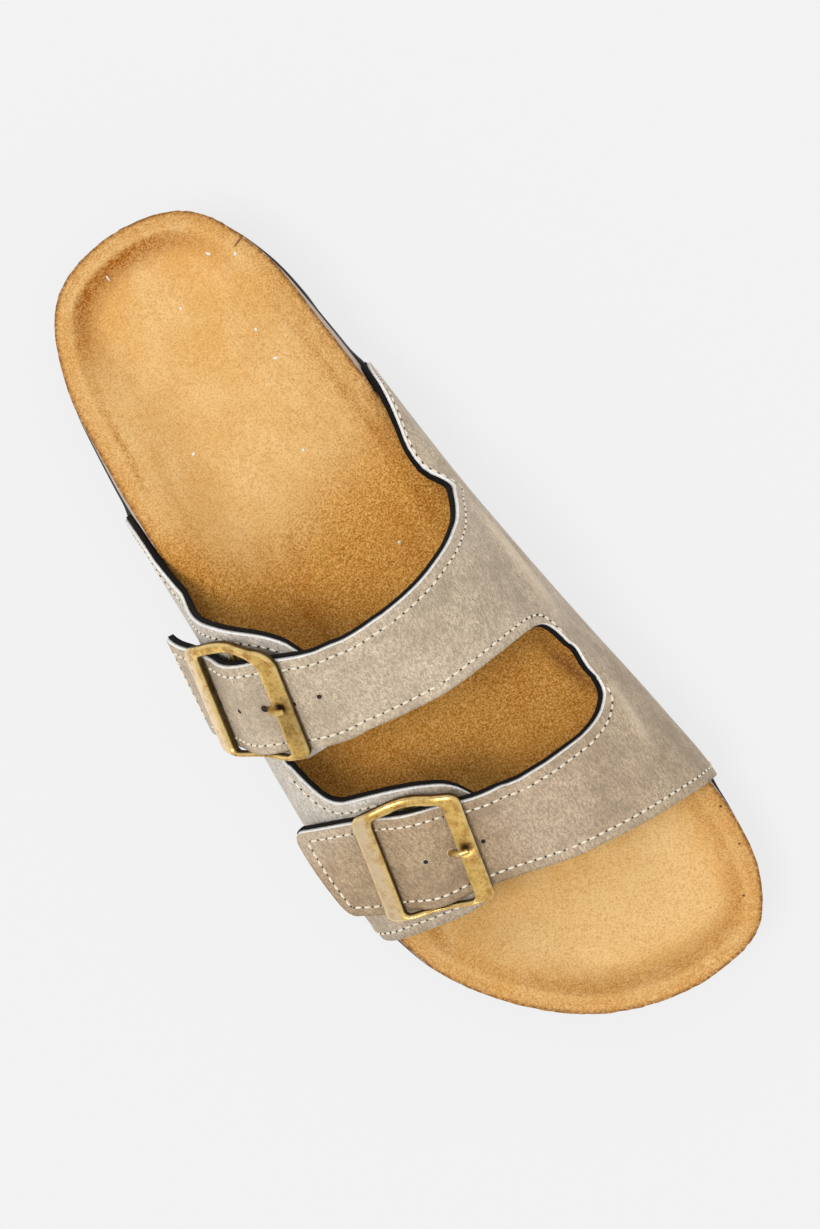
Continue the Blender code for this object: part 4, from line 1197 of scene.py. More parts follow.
class Look:
    """A surface's shader with short calls for its nodes; lengths are in millimetres."""

    def __init__(self, name, colour, roughness, metallic=0.0):
        self.material = bpy.data.materials.new(name)
        self.material.use_nodes = True
        self.tree = self.material.node_tree
        self.shader = self.tree.nodes["Principled BSDF"]
        self.set("Base Color", (*colour, 1.0))
        self.set("Roughness", roughness)
        self.set("Metallic", metallic)
        place = self.tree.nodes.new("ShaderNodeTexCoord")
        scale = self.tree.nodes.new("ShaderNodeMapping")
        scale.inputs["Scale"].default_value = (1 / MM, 1 / MM, 1 / MM)
        self.tree.links.new(place.outputs["Object"], scale.inputs["Vector"])
        self.place = scale.outputs["Vector"]

    def feed(self, socket, value):
        """Give a socket a value, or link it to a node."""
        if isinstance(value, bpy.types.NodeSocket):
            self.tree.links.new(value, socket)
        else:
            socket.default_value = value

    def set(self, name, value):
        """Feed one of the shader's own sockets."""
        self.feed(self.shader.inputs[name], value)

    def noise(self, name):
        """Cloudy value of a row of the table of noises."""
        size, detail, roughness, stretch = NOISES[name][:4]
        node = self.tree.nodes.new("ShaderNodeTexNoise")
        node.inputs["Scale"].default_value = 1.0 / size
        node.inputs["Detail"].default_value = detail
        node.inputs["Roughness"].default_value = roughness
        vector = self.place
        if stretch is not EVEN:
            turn = self.tree.nodes.new("ShaderNodeMapping")
            turn.inputs["Scale"].default_value = stretch
            self.tree.links.new(vector, turn.inputs["Vector"])
            vector = turn.outputs["Vector"]
        self.tree.links.new(vector, node.inputs["Vector"])
        return node.outputs["Fac"]

    def grains(self, size):
        """Value of its own for each of many small grains."""
        node = self.tree.nodes.new("ShaderNodeTexVoronoi")
        node.inputs["Scale"].default_value = 1.0 / size
        self.tree.links.new(self.place, node.inputs["Vector"])
        return self.times(node.outputs["Color"], 1.0)

    def value(self, name):
        """Value stored on the piece's points."""
        node = self.tree.nodes.new("ShaderNodeAttribute")
        node.attribute_name = name
        return node.outputs["Fac"]

    def ramp(self, value, low, high, start=0.0, end=1.0):
        """Value carried from one range to another, kept within it."""
        node = self.tree.nodes.new("ShaderNodeMapRange")
        node.interpolation_type = "SMOOTHSTEP"
        node.inputs["From Min"].default_value = low
        node.inputs["From Max"].default_value = high
        node.inputs["To Min"].default_value = start
        node.inputs["To Max"].default_value = end
        self.tree.links.new(value, node.inputs["Value"])
        return node.outputs["Result"]

    def shown(self, name, start=0.0, end=1.0, value=None):
        """The range of a noise that shows, carried to another range."""
        low, high = NOISES[name][4:]
        return self.ramp(self.noise(name) if value is None else value, low, high, start, end)

    def math(self, kind, first, second):
        """Sum, product or other step with two values."""
        node = self.tree.nodes.new("ShaderNodeMath")
        node.operation = kind
        for socket, value in zip(node.inputs, (first, second)):
            self.feed(socket, value)
        return node.outputs["Value"]

    def times(self, first, second):
        """Product of two values."""
        return self.math("MULTIPLY", first, second)

    def mix(self, share, first, second, kind="MIX"):
        """Colour between two colours."""
        node = self.tree.nodes.new("ShaderNodeMix")
        node.data_type = "RGBA"
        node.blend_type = kind
        sockets = [socket for socket in node.inputs if socket.enabled]
        for socket, value in zip(sockets, (share, first, second)):
            self.feed(socket, (*value, 1.0) if isinstance(value, tuple) else value)
        return [socket for socket in node.outputs if socket.enabled][0]

    def bump(self, height, depth, strength=1.0, below=None):
        """Relief of a depth from a value between 0 and 1."""
        node = self.tree.nodes.new("ShaderNodeBump")
        node.inputs["Strength"].default_value = strength
        node.inputs["Distance"].default_value = depth * MM
        self.tree.links.new(height, node.inputs["Height"])
        if below is not None:
            self.tree.links.new(below, node.inputs["Normal"])
        return node.outputs["Normal"]


def leather_look(name, tones, grain):
    """Leather: cloudy tone, short crinkles, fine grain, a warmer tone where it is stored, painted
    highlight on crease ridges.
    """
    light, mid, dark = tones
    look = Look(name, mid, roughness=0.52)
    fine = look.noise("leather_fine")
    stroke = look.noise("leather_stroke")
    fold = look.math("SUBTRACT", look.noise("leather_fold"), NOISE_MIDDLE)
    crinkle = look.shown("leather_fold", value=look.math("ABSOLUTE", fold, 0.0))
    deep = tuple(DEEP_TONE * c for c in dark)
    tone = look.mix(look.shown("leather_cloud"), dark, mid)
    tone = look.mix(look.shown("leather_patch", end=PATCH_SHARE), tone, light)
    tone = look.mix(look.ramp(crinkle, low=1.0, high=0.0, end=CRINKLE_SHARE * grain), tone, deep)
    tone = look.mix(look.shown("leather_stroke", end=GRAIN_SHARE * grain, value=stroke), tone, deep)
    tone = look.mix(look.shown("leather_fine", end=GRAIN_SHARE * grain, value=fine), tone, deep)
    tone = look.mix(look.value("warm"), tone, WARM_TINT, "MULTIPLY")
    # Painted highlight on the ridges of the creases.
    tone = look.mix(look.value("ridge_highlight"), tone, light)
    look.set("Base Color", tone)
    look.set("Roughness", look.ramp(fine, low=0.3, high=0.7, start=0.44, end=0.62))
    pebble = look.bump(crinkle, depth=0.12 * grain)
    rough = look.bump(stroke, depth=0.34 * grain, below=pebble)
    look.set("Normal", look.bump(fine, depth=0.14 * grain, below=rough))
    return look.material


def suede_look():
    """Golden suede sock: short speckled nap, deeper in dips; painted shade under the straps, painted light
    on toe and waist.
    """
    look = Look("insole_suede", SUEDE, roughness=0.95)
    speck = look.noise("suede_speck")
    nap = look.noise("suede_nap")
    brushed = look.noise("suede_brushed")
    under = look.value("under")
    # Painted shade under the straps: darker, more saturated specks, a warmer tint and stronger speckle
    # there.
    speck_tone = look.mix(under, SUEDE_RUST, SUEDE_SHADE)
    tone = look.mix(look.shown("suede_cloud"), SUEDE_MID, SUEDE_LIGHT)
    tone = look.mix(look.shown("suede_brushed", end=BRUSH_SHARE, value=brushed), tone, SUEDE_MID)
    # Painted light: paler suede on the open toe and the middle of the waist.
    tone = look.mix(look.value("pale"), tone, SUEDE_PALE)
    tone = look.mix(under, tone, PAINTED_SHADE_TINT, "MULTIPLY")
    grip = look.math("ADD", look.times(under, PAINTED_SHADE_GRIP), OPEN_GRIP)
    tone = look.mix(look.times(look.shown("suede_speck", value=speck), grip), tone, speck_tone)
    tone = look.mix(look.shown("suede_nap", end=NAP_SHARE, value=nap), tone, SUEDE_RUST)
    tone = look.mix(look.times(look.ramp(speck, low=0.50, high=0.30), grip), tone, SUEDE_LIGHT)
    worn = look.ramp(nap, low=0.30, high=0.62, start=0.55)
    patchy = look.times(worn, look.ramp(speck, low=0.38, high=0.60, start=0.45, end=1.35))
    # Dips: darker suede and painted shade in the groove, painted shade along the streaks, and the rim's
    # darker tone.
    tone = look.mix(look.times(look.value("dip"), patchy), tone, SUEDE_DEEP)
    # The cut edge and the painted shadow on the medial roll share one dark brown.
    ragged = look.shown("suede_ragged", start=0.35)
    tone = look.mix(look.times(look.value("cut"), ragged), tone, SUEDE_CUT_AND_SHADOW)
    look.set("Base Color", tone)
    ripple = look.times(look.noise("suede_ripple"), look.value("ripple"))
    soft = look.bump(ripple, depth=1.1)
    soft = look.bump(brushed, depth=0.35, strength=0.7, below=soft)
    look.set("Normal", look.bump(speck, depth=0.35, below=soft))
    look.set("Sheen Weight", 0.03)
    look.set("Sheen Roughness", 0.5)
    look.set("Sheen Tint", (1.0, 0.80, 0.5, 1.0))
    look.set("Specular IOR Level", 0.08)
    return look.material


def cork_look():
    """Sealed pressed cork: pinkish beige with small grains."""
    look = Look("footbed_cork", CORK, roughness=0.7)
    grains = look.grains(size=1.9)
    tone = look.mix(look.ramp(grains, low=0.25, high=0.75), CORK_LIGHT, CORK_DARK)
    tone = look.mix(look.shown("cork_blend", end=0.6), tone, CORK_MID)
    tone = look.mix(look.shown("cork_fleck", end=0.75), tone, CORK_FLECK)
    look.set("Base Color", tone)
    chips = look.bump(grains, depth=0.10)
    look.set("Normal", look.bump(look.noise("cork_relief"), depth=0.25, below=chips))
    return look.material


def rubber_look():
    """Black moulded rubber, slightly dusty."""
    look = Look("outsole_rubber", RUBBER, roughness=0.7)
    dust = look.shown("rubber_dust")
    look.set("Base Color", look.mix(dust, RUBBER_CLEAN, RUBBER_DUSTY))
    look.set("Roughness", look.ramp(dust, low=0.0, high=1.0, start=0.58, end=0.82))
    look.set("Normal", look.bump(look.noise("rubber_grain"), depth=0.10))
    return look.material


def plain_look(name, shine=None):
    """Surface of two tones with a fine grain: lining, raw edge, thread, lint or mark."""
    colour, roughness, first, second, relief = PLAIN[name]
    look = Look(name, colour, roughness)
    grain = look.noise(name)
    look.set("Base Color", look.mix(look.shown(name, value=grain), first, second))
    look.set("Normal", look.bump(grain, relief))
    if shine is not None:
        look.set("Specular IOR Level", shine)
    return look.material


def hole_look():
    """Inside of a needle hole or a punched hole."""
    look = Look("hole_dark", HOLE, roughness=0.95)
    look.set("Base Color", look.mix(look.noise("hole_dark"), HOLE_DARK, HOLE_DUSTY))
    return look.material


def brass_look():
    """Antique brass: brown patina in the flats, bright where rubbed, dark with dirt and painted shade on
    walls and notch.
    """
    look = Look("buckle_brass", BRASS, roughness=0.34, metallic=1.0)
    stain = look.shown("brass_stain")
    tone = look.mix(stain, BRASS_CLEAN, BRASS_BROWN)
    tone = look.mix(look.shown("brass_spots", end=0.60), tone, BRASS_SPOT)
    # Pale lateral bar: worn brass and a painted reflection of the light from that side.
    worn = look.times(look.value("worn"), look.ramp(stain, low=1.0, high=0.0, start=0.55))
    tone = look.mix(worn, tone, BRASS_WORN_REFLECTION)
    rubbed = look.times(look.value("rubbed"), look.ramp(stain, low=1.0, high=0.0, start=0.35))
    tone = look.mix(rubbed, tone, BRASS_RUBBED)
    # Dark with dirt, and with painted shade on the walls and painted shadow in the prong's notch.
    dirt_and_shade = look.value("dirt_and_shade")
    look.set("Base Color", look.mix(dirt_and_shade, tone, BRASS_DIRT_AND_SHADE))
    shine = look.ramp(stain, low=0.0, high=1.0, start=0.24, end=0.42)
    look.set("Roughness", look.math("ADD", shine, look.times(dirt_and_shade, DIRT_DULL)))
    look.set("Normal", look.bump(look.noise("brass_fine"), depth=0.05))
    return look.material


def floor_look():
    """Pale studio table, lit softly from within so that shadows stay faint."""
    look = Look("studio_floor", FLOOR, roughness=0.9)
    look.set("Emission Color", (1.0, 1.0, 1.0, 1.0))
    look.set("Emission Strength", 0.78)
    look.set("Specular IOR Level", 0.0)
    return look.material


def streak(across, station, start, end, width):
    """Strength of a soft streak between two places, fading towards both ends."""
    run = np.array(end) - np.array(start)
    place = np.stack([across, station], axis=1) - np.array(start)
    share = np.clip(place.dot(run) / run.dot(run), 0.0, 1.0)
    away = np.linalg.norm(place - share[:, None] * run, axis=1)
    return hill(away, 0.0, width) * np.sin(math.pi * (STREAK_END + (1.0 - 2 * STREAK_END) * share))


def groove_shade(across, station, inset):
    """How dark the suede is: the groove, partly painted shade, the shade of the rim, and streaks of
    painted shade.
    """
    loop, _ = sole_loop(LOOP_POINTS)
    step = np.linalg.norm(loop[1] - loop[0])
    number = np.arange(len(inset)) % LOOP_POINTS
    reach = step * np.minimum(number, LOOP_POINTS - number)
    lateral = GROOVE.at("lateral", reach)
    strength = np.where(number < LOOP_POINTS // 2, lateral, GROOVE.at("medial", reach))
    groove = CORE_SHARE * band(inset, GROOVE_CORE) + (1.0 - CORE_SHARE) * band(inset, GROOVE_FADE)
    rim = RIM_SHADE * (1.0 - blend((inset - RIM_SHADE_FROM) / RIM_SHADE_EASE))
    shade = strength * groove + rim
    for start, end, width, depth in STREAKS:
        shade = shade + depth * streak(across, station, start, end, width)
    return np.clip(shade, 0.0, 1.0)


def make_insole(material):
    """Suede sock over the footbed, with its darker dips, its cut edge, and its painted shade and light."""
    insets = np.linspace(0.0, DEEP_INSET, INSOLE_RINGS)
    across, station, inset, faces = sole_sheet(insets)
    rng = np.random.default_rng(FRAY_SEED)
    fray = np.clip(rng.normal(FRAY_MEAN, FRAY_SPREAD, LOOP_POINTS), *FRAY_LIMITS)
    _, outward = sole_loop(LOOP_POINTS)
    across[:LOOP_POINTS] += fray * outward[:, 0]
    station[:LOOP_POINTS] += fray * outward[:, 1]
    height = foot_height(across, station, inset)
    shade = groove_shade(across, station, inset)
    top = spot(across, station, height - GROOVE_SINK * shade)
    low = spot(across, station, height - INSOLE_THICK)
    thing = sole_solid("insole_sock", low, top, faces, [], material)
    # Painted shade under the straps, from behind the back strap to the front strap.
    lead = LATERAL_LEAD * np.maximum(across - LATERAL_FROM, 0.0)
    rear = blend((station - UNDER_REAR - UNDER_REAR_SLANT * across + lead) / UNDER_REAR_EASE)
    front = blend((UNDER_FRONT - UNDER_FRONT_SLANT * across - station) / UNDER_FRONT_EASE)
    ripple = band(station, RIPPLE_SPAN) * blend((-across - RIPPLE_FROM) / RIPPLE_EASE)
    cut = np.interp(inset, insets[:len(CUT_EDGE)], CUT_EDGE)
    # Painted shadow on the medial roll in the gap, in the cut edge's tone.
    cut = np.maximum(cut, ROLL_SHADOW * streak(across, station, *SHADOWED_ROLL))
    # Painted light on the open toe, clear of the rim, and down the middle of the waist.
    toe = TOE_PALE * blend((station - TOE_FROM) / TOE_EASE) * blend((inset - TOE_INSET) / TOE_INSET_EASE)
    from_waist = (np.stack([across, station], axis=1) - WAIST_PLACE) / WAIST_REACH
    waist = WAIST_PALE * hill(np.linalg.norm(from_waist, axis=1), 0.0, 1.0)
    below = np.zeros(len(cut))
    for name, values in (("dip", shade), ("under", rear * front), ("ripple", ripple), ("cut", cut),
                         ("pale", toe + waist)):
        set_values(thing, name, np.concatenate([below + (name == "cut"), values]))
    add_piece(thing, "insole_suede", "insole")


def side_ring(loop, outward, height, step):
    """Ring of points round the sole's drafted side, a step further out."""
    place = loop + outward * (side_outset(loop[:, 1], height) + step)[:, None]
    return spot(place[:, 0], place[:, 1], height)


def make_footbed(material):
    """Cork block: dished top and a smooth drafted side."""
    across, station, inset, faces = sole_sheet(np.linspace(0.0, DEEP_INSET, FOOTBED_RINGS))
    drop = INSOLE_THICK + GAP
    top = spot(across, station, foot_height(across, station, inset) - drop)
    low = spot(across, station, SOLE_HEIGHT.at("deck", station) + GAP)
    loop, outward = sole_loop(LOOP_POINTS)
    base = SOLE_HEIGHT.at("deck", loop[:, 1]) + GAP
    rim = SOLE_HEIGHT.at("rim", loop[:, 1]) - drop - EDGE_ROUND
    shares = np.linspace(0.0, CORK_TOP, CORK_ROWS)
    sides = [side_ring(loop, outward, base + share * (rim - base), 0.0) for share in shares]
    thing = sole_solid("cork_footbed", low, top, faces, sides, material)
    add_piece(thing, "footbed_cork", "footbed")


def tread(across, station, inset):
    """Depth of the wavy grooves under the sole."""
    wave = station + TREAD_WAVE * np.sin(across / TREAD_TURN)
    groove = blend((np.cos(wave * 2 * math.pi / TREAD_PITCH) - TREAD_GROUND) / TREAD_SIDE)
    return TREAD_DEPTH * groove * blend((inset - TREAD_MARGIN) / TREAD_EASE)


def make_outsole(material):
    """Rubber sheet: drafted edge with a thin welt line, and a plain wavy tread below."""
    loop, outward = sole_loop(LOOP_POINTS)
    across, station, inset, faces = sole_sheet(np.linspace(OUTSOLE_INSET, DEEP_INSET, OUTSOLE_RINGS))
    low = spot(across, station, SOLE_HEIGHT.at("under", station) + tread(across, station, inset))
    deck = spot(across, station, SOLE_HEIGHT.at("deck", station))
    under = SOLE_HEIGHT.at("under", loop[:, 1])
    rise = SOLE_HEIGHT.at("deck", loop[:, 1]) - under
    lateral, medial = (LEDGE.at(side, loop[:, 1]) for side in ("lateral", "medial"))
    ledge = np.where(outward[:, 0] > 0, lateral, medial)
    edge = [side_ring(loop, outward, under + share * rise, ledge + step) for step, share in WELT_PROFILE]
    thing = sole_solid("rubber_outsole", low, deck, faces, edge, material)
    add_piece(thing, "outsole_rubber", "outsole")


def lifted(points, faces, lift):
    """Sheet moved outward by a distance, or by one for each point."""
    return points + normals_of(points, faces) * np.reshape(lift, (-1, 1))


def creases(points):
    """Height of the soft ridges and troughs in the leather of the medial side."""
    total = np.zeros(len(points))
    for station, reach, height, width, rise in CREASES:
        along = np.maximum(0.0, 1.0 - ((points[:, 1] - station) / reach) ** 2)
        total += rise * along * hill(points[:, 2], height, width) * blend(-points[:, 0] / CREASE_EASE)
    return total


def make_layers(name, points, faces, leather, raw, lining, replaced):
    """Leather with a raw edge over a lining that shows a little at the rear edges."""
    inside = points(LINING_SHOWS)
    under = points(RAW_SHOWS)
    face = points(0.0)
    outside = lifted(inside, faces, LINING - LINING_SLACK)
    cloth = shell(name + "_lining", faces, outside, inside, [lining])
    add_piece(cloth, "upper_leather", *replaced)
    fold = creases(face)
    skin = shell(name + "_leather", faces, lifted(face, faces, WALL + fold),
                 lifted(under, faces, LINING), [leather, raw, raw])
    lateral = WARM_LEAST + (1.0 - WARM_LEAST) * blend((face[:, 0] - WARM_ACROSS) / WARM_ACROSS_EASE)
    warm = blend((face[:, 1] - WARM_FROM) / WARM_EASE) * lateral
    # Painted highlight along the ridges of the creases.
    ridge_highlight = RIDGE_HIGHLIGHT * np.clip(fold, 0.0, 1.0)
    for title, values in (("warm", warm), ("ridge_highlight", ridge_highlight)):
        set_values(skin, title, np.concatenate([values, values]))
    add_piece(skin, "upper_leather", *replaced)


def rounded_loop(half_long, half_wide, corners):
    """Rounded rectangle of (along, across) points, the same number on every bar and corner."""
    arcs = []
    for quarter, (sign_u, sign_v) in enumerate(((1, 1), (-1, 1), (-1, -1), (1, -1))):
        corner = corners[quarter]
        arc = []
        for step in range(CORNER_STEPS + 1):
            angle = math.pi / 2 * (quarter + step / CORNER_STEPS)
            arc.append((sign_u * (half_long - corner) + corner * math.cos(angle),
                        sign_v * (half_wide - corner) + corner * math.sin(angle)))
        arcs.append(arc)
    loop = []
    for quarter, arc in enumerate(arcs):
        last = arc[-1]
        following = arcs[(quarter + 1) % len(arcs)][0]
        loop += arc
        for step in range(1, BAR_STEPS):
            share = step / BAR_STEPS
            loop.append((last[0] + share * (following[0] - last[0]),
                         last[1] + share * (following[1] - last[1])))
    return np.array(loop)


def corner_radii(strap, change):
    """Radii of a buckle's four corners, all changed by a step; the last is the rear medial one."""
    return [radius + change for radius in (OUTER_CORNER, OUTER_CORNER, OUTER_CORNER, strap.rear_corner)]


def make_buckle(name, strap, patina, material):
    """Buckle frame with soft bevels, a centre bar, a worn notch for the prong in painted shadow, and a
    browner bar.
    """
    half_long = BUCKLE_LONG / 2
    half_wide = BUCKLE_WIDE / 2
    window = half_long - SIDE_BAR
    inner_half = half_wide - (REAR_BAR + FRONT_BAR) / 2
    rings = []
    rubs = []
    dirt_and_shade = []
    worn = []
    for inward, inset, rise, rub in BAR_PROFILE:
        outer = rounded_loop(half_long - inset, half_wide - inset, corner_radii(strap, -inset))
        inner = rounded_loop(window + inset, inner_half + inset, corner_radii(strap, inset - CORNER_STEP))
        inner[:, 1] += (REAR_BAR - FRONT_BAR) / 2
        loop = outer + (inner - outer) * inward
        u, v = loop[:, 0], loop[:, 1]
        ends = blend((np.abs(v) - DIP_FROM) / (inner_half - DIP_FROM))
        arch = np.maximum(0.0, 1.0 - (u / half_long) ** 2) * ends
        dip = np.maximum(0.0, 1.0 - (u / (window - DIP_INSET)) ** 2) ** DIP_BEND * ends
        bow = np.where(v > 0, FRONT_BOW, -strap.rear_bow)
        v = v + bow * arch + strap.buckle_shift
        notch = hill(np.hypot(u - half_long + NOTCH_IN, v - NOTCH_ACROSS), 0.0, NOTCH_HALF)
        out = SEAT_OUT + rise * BAR_THICK - END_DIP * dip - NOTCH_DEPTH * rise * notch
        rings.append(on_seat(strap.seat, u, v, out))
        rubs.append(rub * (1.0 - notch))
        # Pale top of the lateral bar: wear and a painted reflection.
        worn.append(WORN_REFLECTION_MOST * blend((-u - window) / WORN_REFLECTION_EASE) * (rise > WORN_REFLECTION_RISE))
        brown = patina * blend((u - window) / PATINA_EASE) * hill(v, PATINA_ACROSS, PATINA_REACH)
        # Painted shadow and patina in the notch, brown patina on the medial bar, dirt and painted shade on
        # the walls.
        dirt_and_shade.append((notch + brown) * (rise > WALL_RISE) + WALL_SHADE_AND_DIRT * (rise < WALL_RISE))
    count = len(rings[0])
    points = np.concatenate(rings)
    faces = ring_faces(len(rings) + 1, count) % len(points)
    rear = half_wide - REAR_BAR / 2 + strap.rear_bow
    front = half_wide - FRONT_BAR / 2 + FRONT_BOW
    path = [(0.0, share * (rear if share < 0 else front) + strap.buckle_shift, out)
            for share, out in BAR_PATH]
    rod, rod_faces = tube(strap.seat, path, np.full(len(path), BAR_RADIUS), ROD_SIDES)
    every = [list(face) for face in faces] + [[k + len(points) for k in face] for face in rod_faces]
    thing = mesh_object(name + "_frame", np.vstack([points, rod]), every, [material])
    thing.data.set_sharp_from_angle(angle=math.radians(SHARP_ANGLE))
    for title, values, on_rod in (("rubbed", rubs, 0.0), ("dirt_and_shade", dirt_and_shade, ROD_DIRT), ("worn", worn, 0.0)):
        set_values(thing, title, np.minimum(1.0, np.concatenate(values + [np.full(len(rod), on_rod)])))
    add_piece(thing, "buckle_brass", name)


def circle(first, second, sides):
    """Offsets round a circle between two directions."""
    angles = np.linspace(0.0, 2 * math.pi, sides, endpoint=False)[:, None]
    return np.cos(angles) * first + np.sin(angles) * second


def capped_faces(rows, sides):
    """Faces between rings of points, with a cap at both ends."""
    faces = ring_faces(rows, sides).tolist()
    faces.append(list(range(sides))[::-1])
    faces.append(list(range((rows - 1) * sides, rows * sides)))
    return faces


def tube(seat, path, radii, sides):
    """Points and faces of a round rod along a path of (along, across, out) points over a seat."""
    points = on_seat(seat, *np.array(path, dtype=float).T)
    run = unit(np.gradient(points, axis=0))
    side = unit(np.cross(run, seat[3] + ROD_TILT * seat[1]))
    other = np.cross(side, run)
    rings = [points[k] + radii[k] * circle(side[k], other[k], sides) for k in range(len(points))]
    return np.concatenate(rings), capped_faces(len(points), sides)


def make_prong(name, strap, material):
    """Prong with a square-cut free end, its edges eased."""
    steps = np.linspace(0.0, PRONG_PATH.rows[-1, 0], PRONG_STEPS)
    path = np.stack([PRONG_PATH.at("along", steps), 0 * steps, PRONG_PATH.at("out", steps)], axis=1)
    left = np.maximum(path[-1, 0] - path[:, 0], 0.0)
    eased = np.sqrt(1.0 - (1.0 - np.minimum(left, PRONG_EASE) / PRONG_EASE) ** 2)
    radii = PRONG_RADIUS * (PRONG_TIP + (1.0 - PRONG_TIP) * eased)
    points, faces = tube(strap.seat, path, radii, PRONG_SIDES)
    thing = mesh_object(name + "_pin", points, faces, [material])
    thing.data.set_sharp_from_angle(angle=math.radians(SHARP_ANGLE))
    rubbed, cleaned = (most * blend((path[:, 0] - start) / ease)
                       for most, start, ease in (PRONG_RUBBED, PRONG_CLEANED))
    set_values(thing, "rubbed", np.repeat(rubbed, PRONG_SIDES))
    set_values(thing, "dirt_and_shade", np.repeat(PRONG_DIRT - cleaned, PRONG_SIDES))
    add_piece(thing, "buckle_brass", name)


def skin_frame(point, first, second):
    """Points of the upper's outer face at two arrays of parameters, with their outward directions."""
    here = point(first, second)
    one = point(first + SMALL, second) - here
    two = point(first, second + SMALL) - here
    out = unit(np.cross(one, two))
    away = here - np.array([0.0, 0.0, INSIDE_HEIGHT])
    away[:, 1] = 0.0
    flip = np.where((out * away).sum(axis=1) < 0, -1.0, 1.0)
    out = out * flip[:, None]
    return here + out * WALL, out


def seam_lines():
    """Stitch lines as (points, outward directions) along the edges of both panels."""
    lines = []
    inset = STITCH_INSET
    rise = np.linspace(SEAM_FOOT, 1.0, SEAM_STEPS)
    above = PANEL_FORK + (1.0 - PANEL_FORK) * np.linspace(0.0, 1.0, LEG_SEAM_STEPS)
    for strap, rear, front in LEGS:
        swings, _ = strap_swings(strap)
        share = inset / strap.rows.at("half", swings)
        keep = np.interp(swings, *strap.runs) < strap.runs[1][-1] - inset
        for name, side in ((rear, -1.0), (front, 1.0)):
            girths = rise if name in ("rear", "front") else above
            low = skin_frame(medial_point, girths, PANEL.at(name, girths) - side * inset)
            high = skin_frame(strap.face, swings[keep], side * (1.0 - share[keep]))
            lines.append(tuple(np.vstack(pair) for pair in zip(low, high)))
        across = np.linspace(-1.0, 1.0, TIP_SEAM_STEPS) * (1.0 - share[keep][-1])
        lines.append(skin_frame(strap.face, np.full(TIP_SEAM_STEPS, swings[keep][-1]), across))
    for name, side, start, end in QUARTER_SEAMS:
        girths = np.linspace(start, end, SEAM_STEPS)
        edge, out = skin_frame(quarter_point, girths, QUARTER.at(name, girths))
        inward = side * unit(np.cross(out, unit(np.gradient(edge, axis=0))))
        lines.append((edge + inset * inward, out))
    return lines


class Bits:
    """Points and faces of many small closed parts of one piece."""

    def __init__(self):
        self.points = []
        self.faces = []
        self.count = 0

    def add(self, rings):
        """Add a closed part through rings of points, capped at both ends."""
        rows, sides = rings.shape[:2]
        self.faces += [[k + self.count for k in face] for face in capped_faces(rows, sides)]
        self.points.append(rings.reshape(-1, 3))
        self.count += rows * sides

    def piece(self, name, slot, material):
        """Make the piece of all parts."""
        return add_piece(mesh_object(name, np.vstack(self.points), self.faces, [material]), slot)


def make_stitches(lines, thread, dark):
    """Thread stitches and needle holes along lines on the leather."""
    threads = Bits()
    pricks = Bits()
    rng = np.random.default_rng(STITCH_SEED)
    swell = np.sin(math.pi * np.linspace(STITCH_ENDS, 1.0 - STITCH_ENDS, STITCH_ROWS)) ** STITCH_TAPER
    rise = STITCH_ARCH * swell - STITCH_SINK
    for line, out in lines:
        length = lengths(line)
        for start in np.arange(STITCH_START, length[-1] - STITCH_LONG, STITCH_PITCH):
            begin = start + rng.normal(0.0, STITCH_STRAY)
            steps = begin + STITCH_LONG * np.linspace(0.0, 1.0, STITCH_ROWS)
            up = unit(along_line(steps, length, out))
            spine = along_line(steps, length, line) + up * rise[:, None]
            run = unit(np.gradient(spine, axis=0))
            side = unit(np.cross(run, up))
            threads.add(np.array([
                spine[k] + STITCH_RADIUS * swell[k] * circle(STITCH_FLAT * side[k], up[k], STITCH_SIDES)
                for k in range(STITCH_ROWS)]))
            gap = begin + STITCH_LONG + (STITCH_PITCH - STITCH_LONG) / 2
            disc = circle(PRICK_WIDE * side[-1], PRICK_LONG * run[-1], STITCH_SIDES)
            disc = along_line(gap, length, line) + disc
            pricks.add(np.array([disc + level * up[-1] for level in PRICK_LEVELS]))
    threads.piece("stitching", "upper_leather", thread)
    pricks.piece("needle_holes", "upper_leather", dark)


def make_holes(leather, dark):
    """Punched holes of both straps: a dark well inside a thin raised lip."""
    wells = Bits()
    lips = Bits()
    for strap, swing, across, radius in HOLES:
        place, out = skin_frame(strap.face, np.array([swing]), np.array([across]))
        centre, up = place[0], out[0]
        first = unit(np.cross(up, np.array(HOLE_AIM)))
        disc = circle(first, np.cross(up, first), HOLE_SIDES)
        wells.add(np.array([centre + radius * disc + level * up for level in HOLE_LEVELS]))
        lips.add(np.array([centre + (radius + step) * disc + rise * up for step, rise in LIP_PROFILE]))
    wells.piece("strap_holes", "upper_leather", dark)
    lip = lips.piece("hole_lips", "upper_leather", leather)
    set_values(lip, "warm", np.zeros(lips.count))


def on_insole(across, station, above):
    """Points a little above the insole."""
    inset = edge_distance(np.stack([across, station], axis=1))
    return spot(across, station, foot_height(across, station, inset) + above)


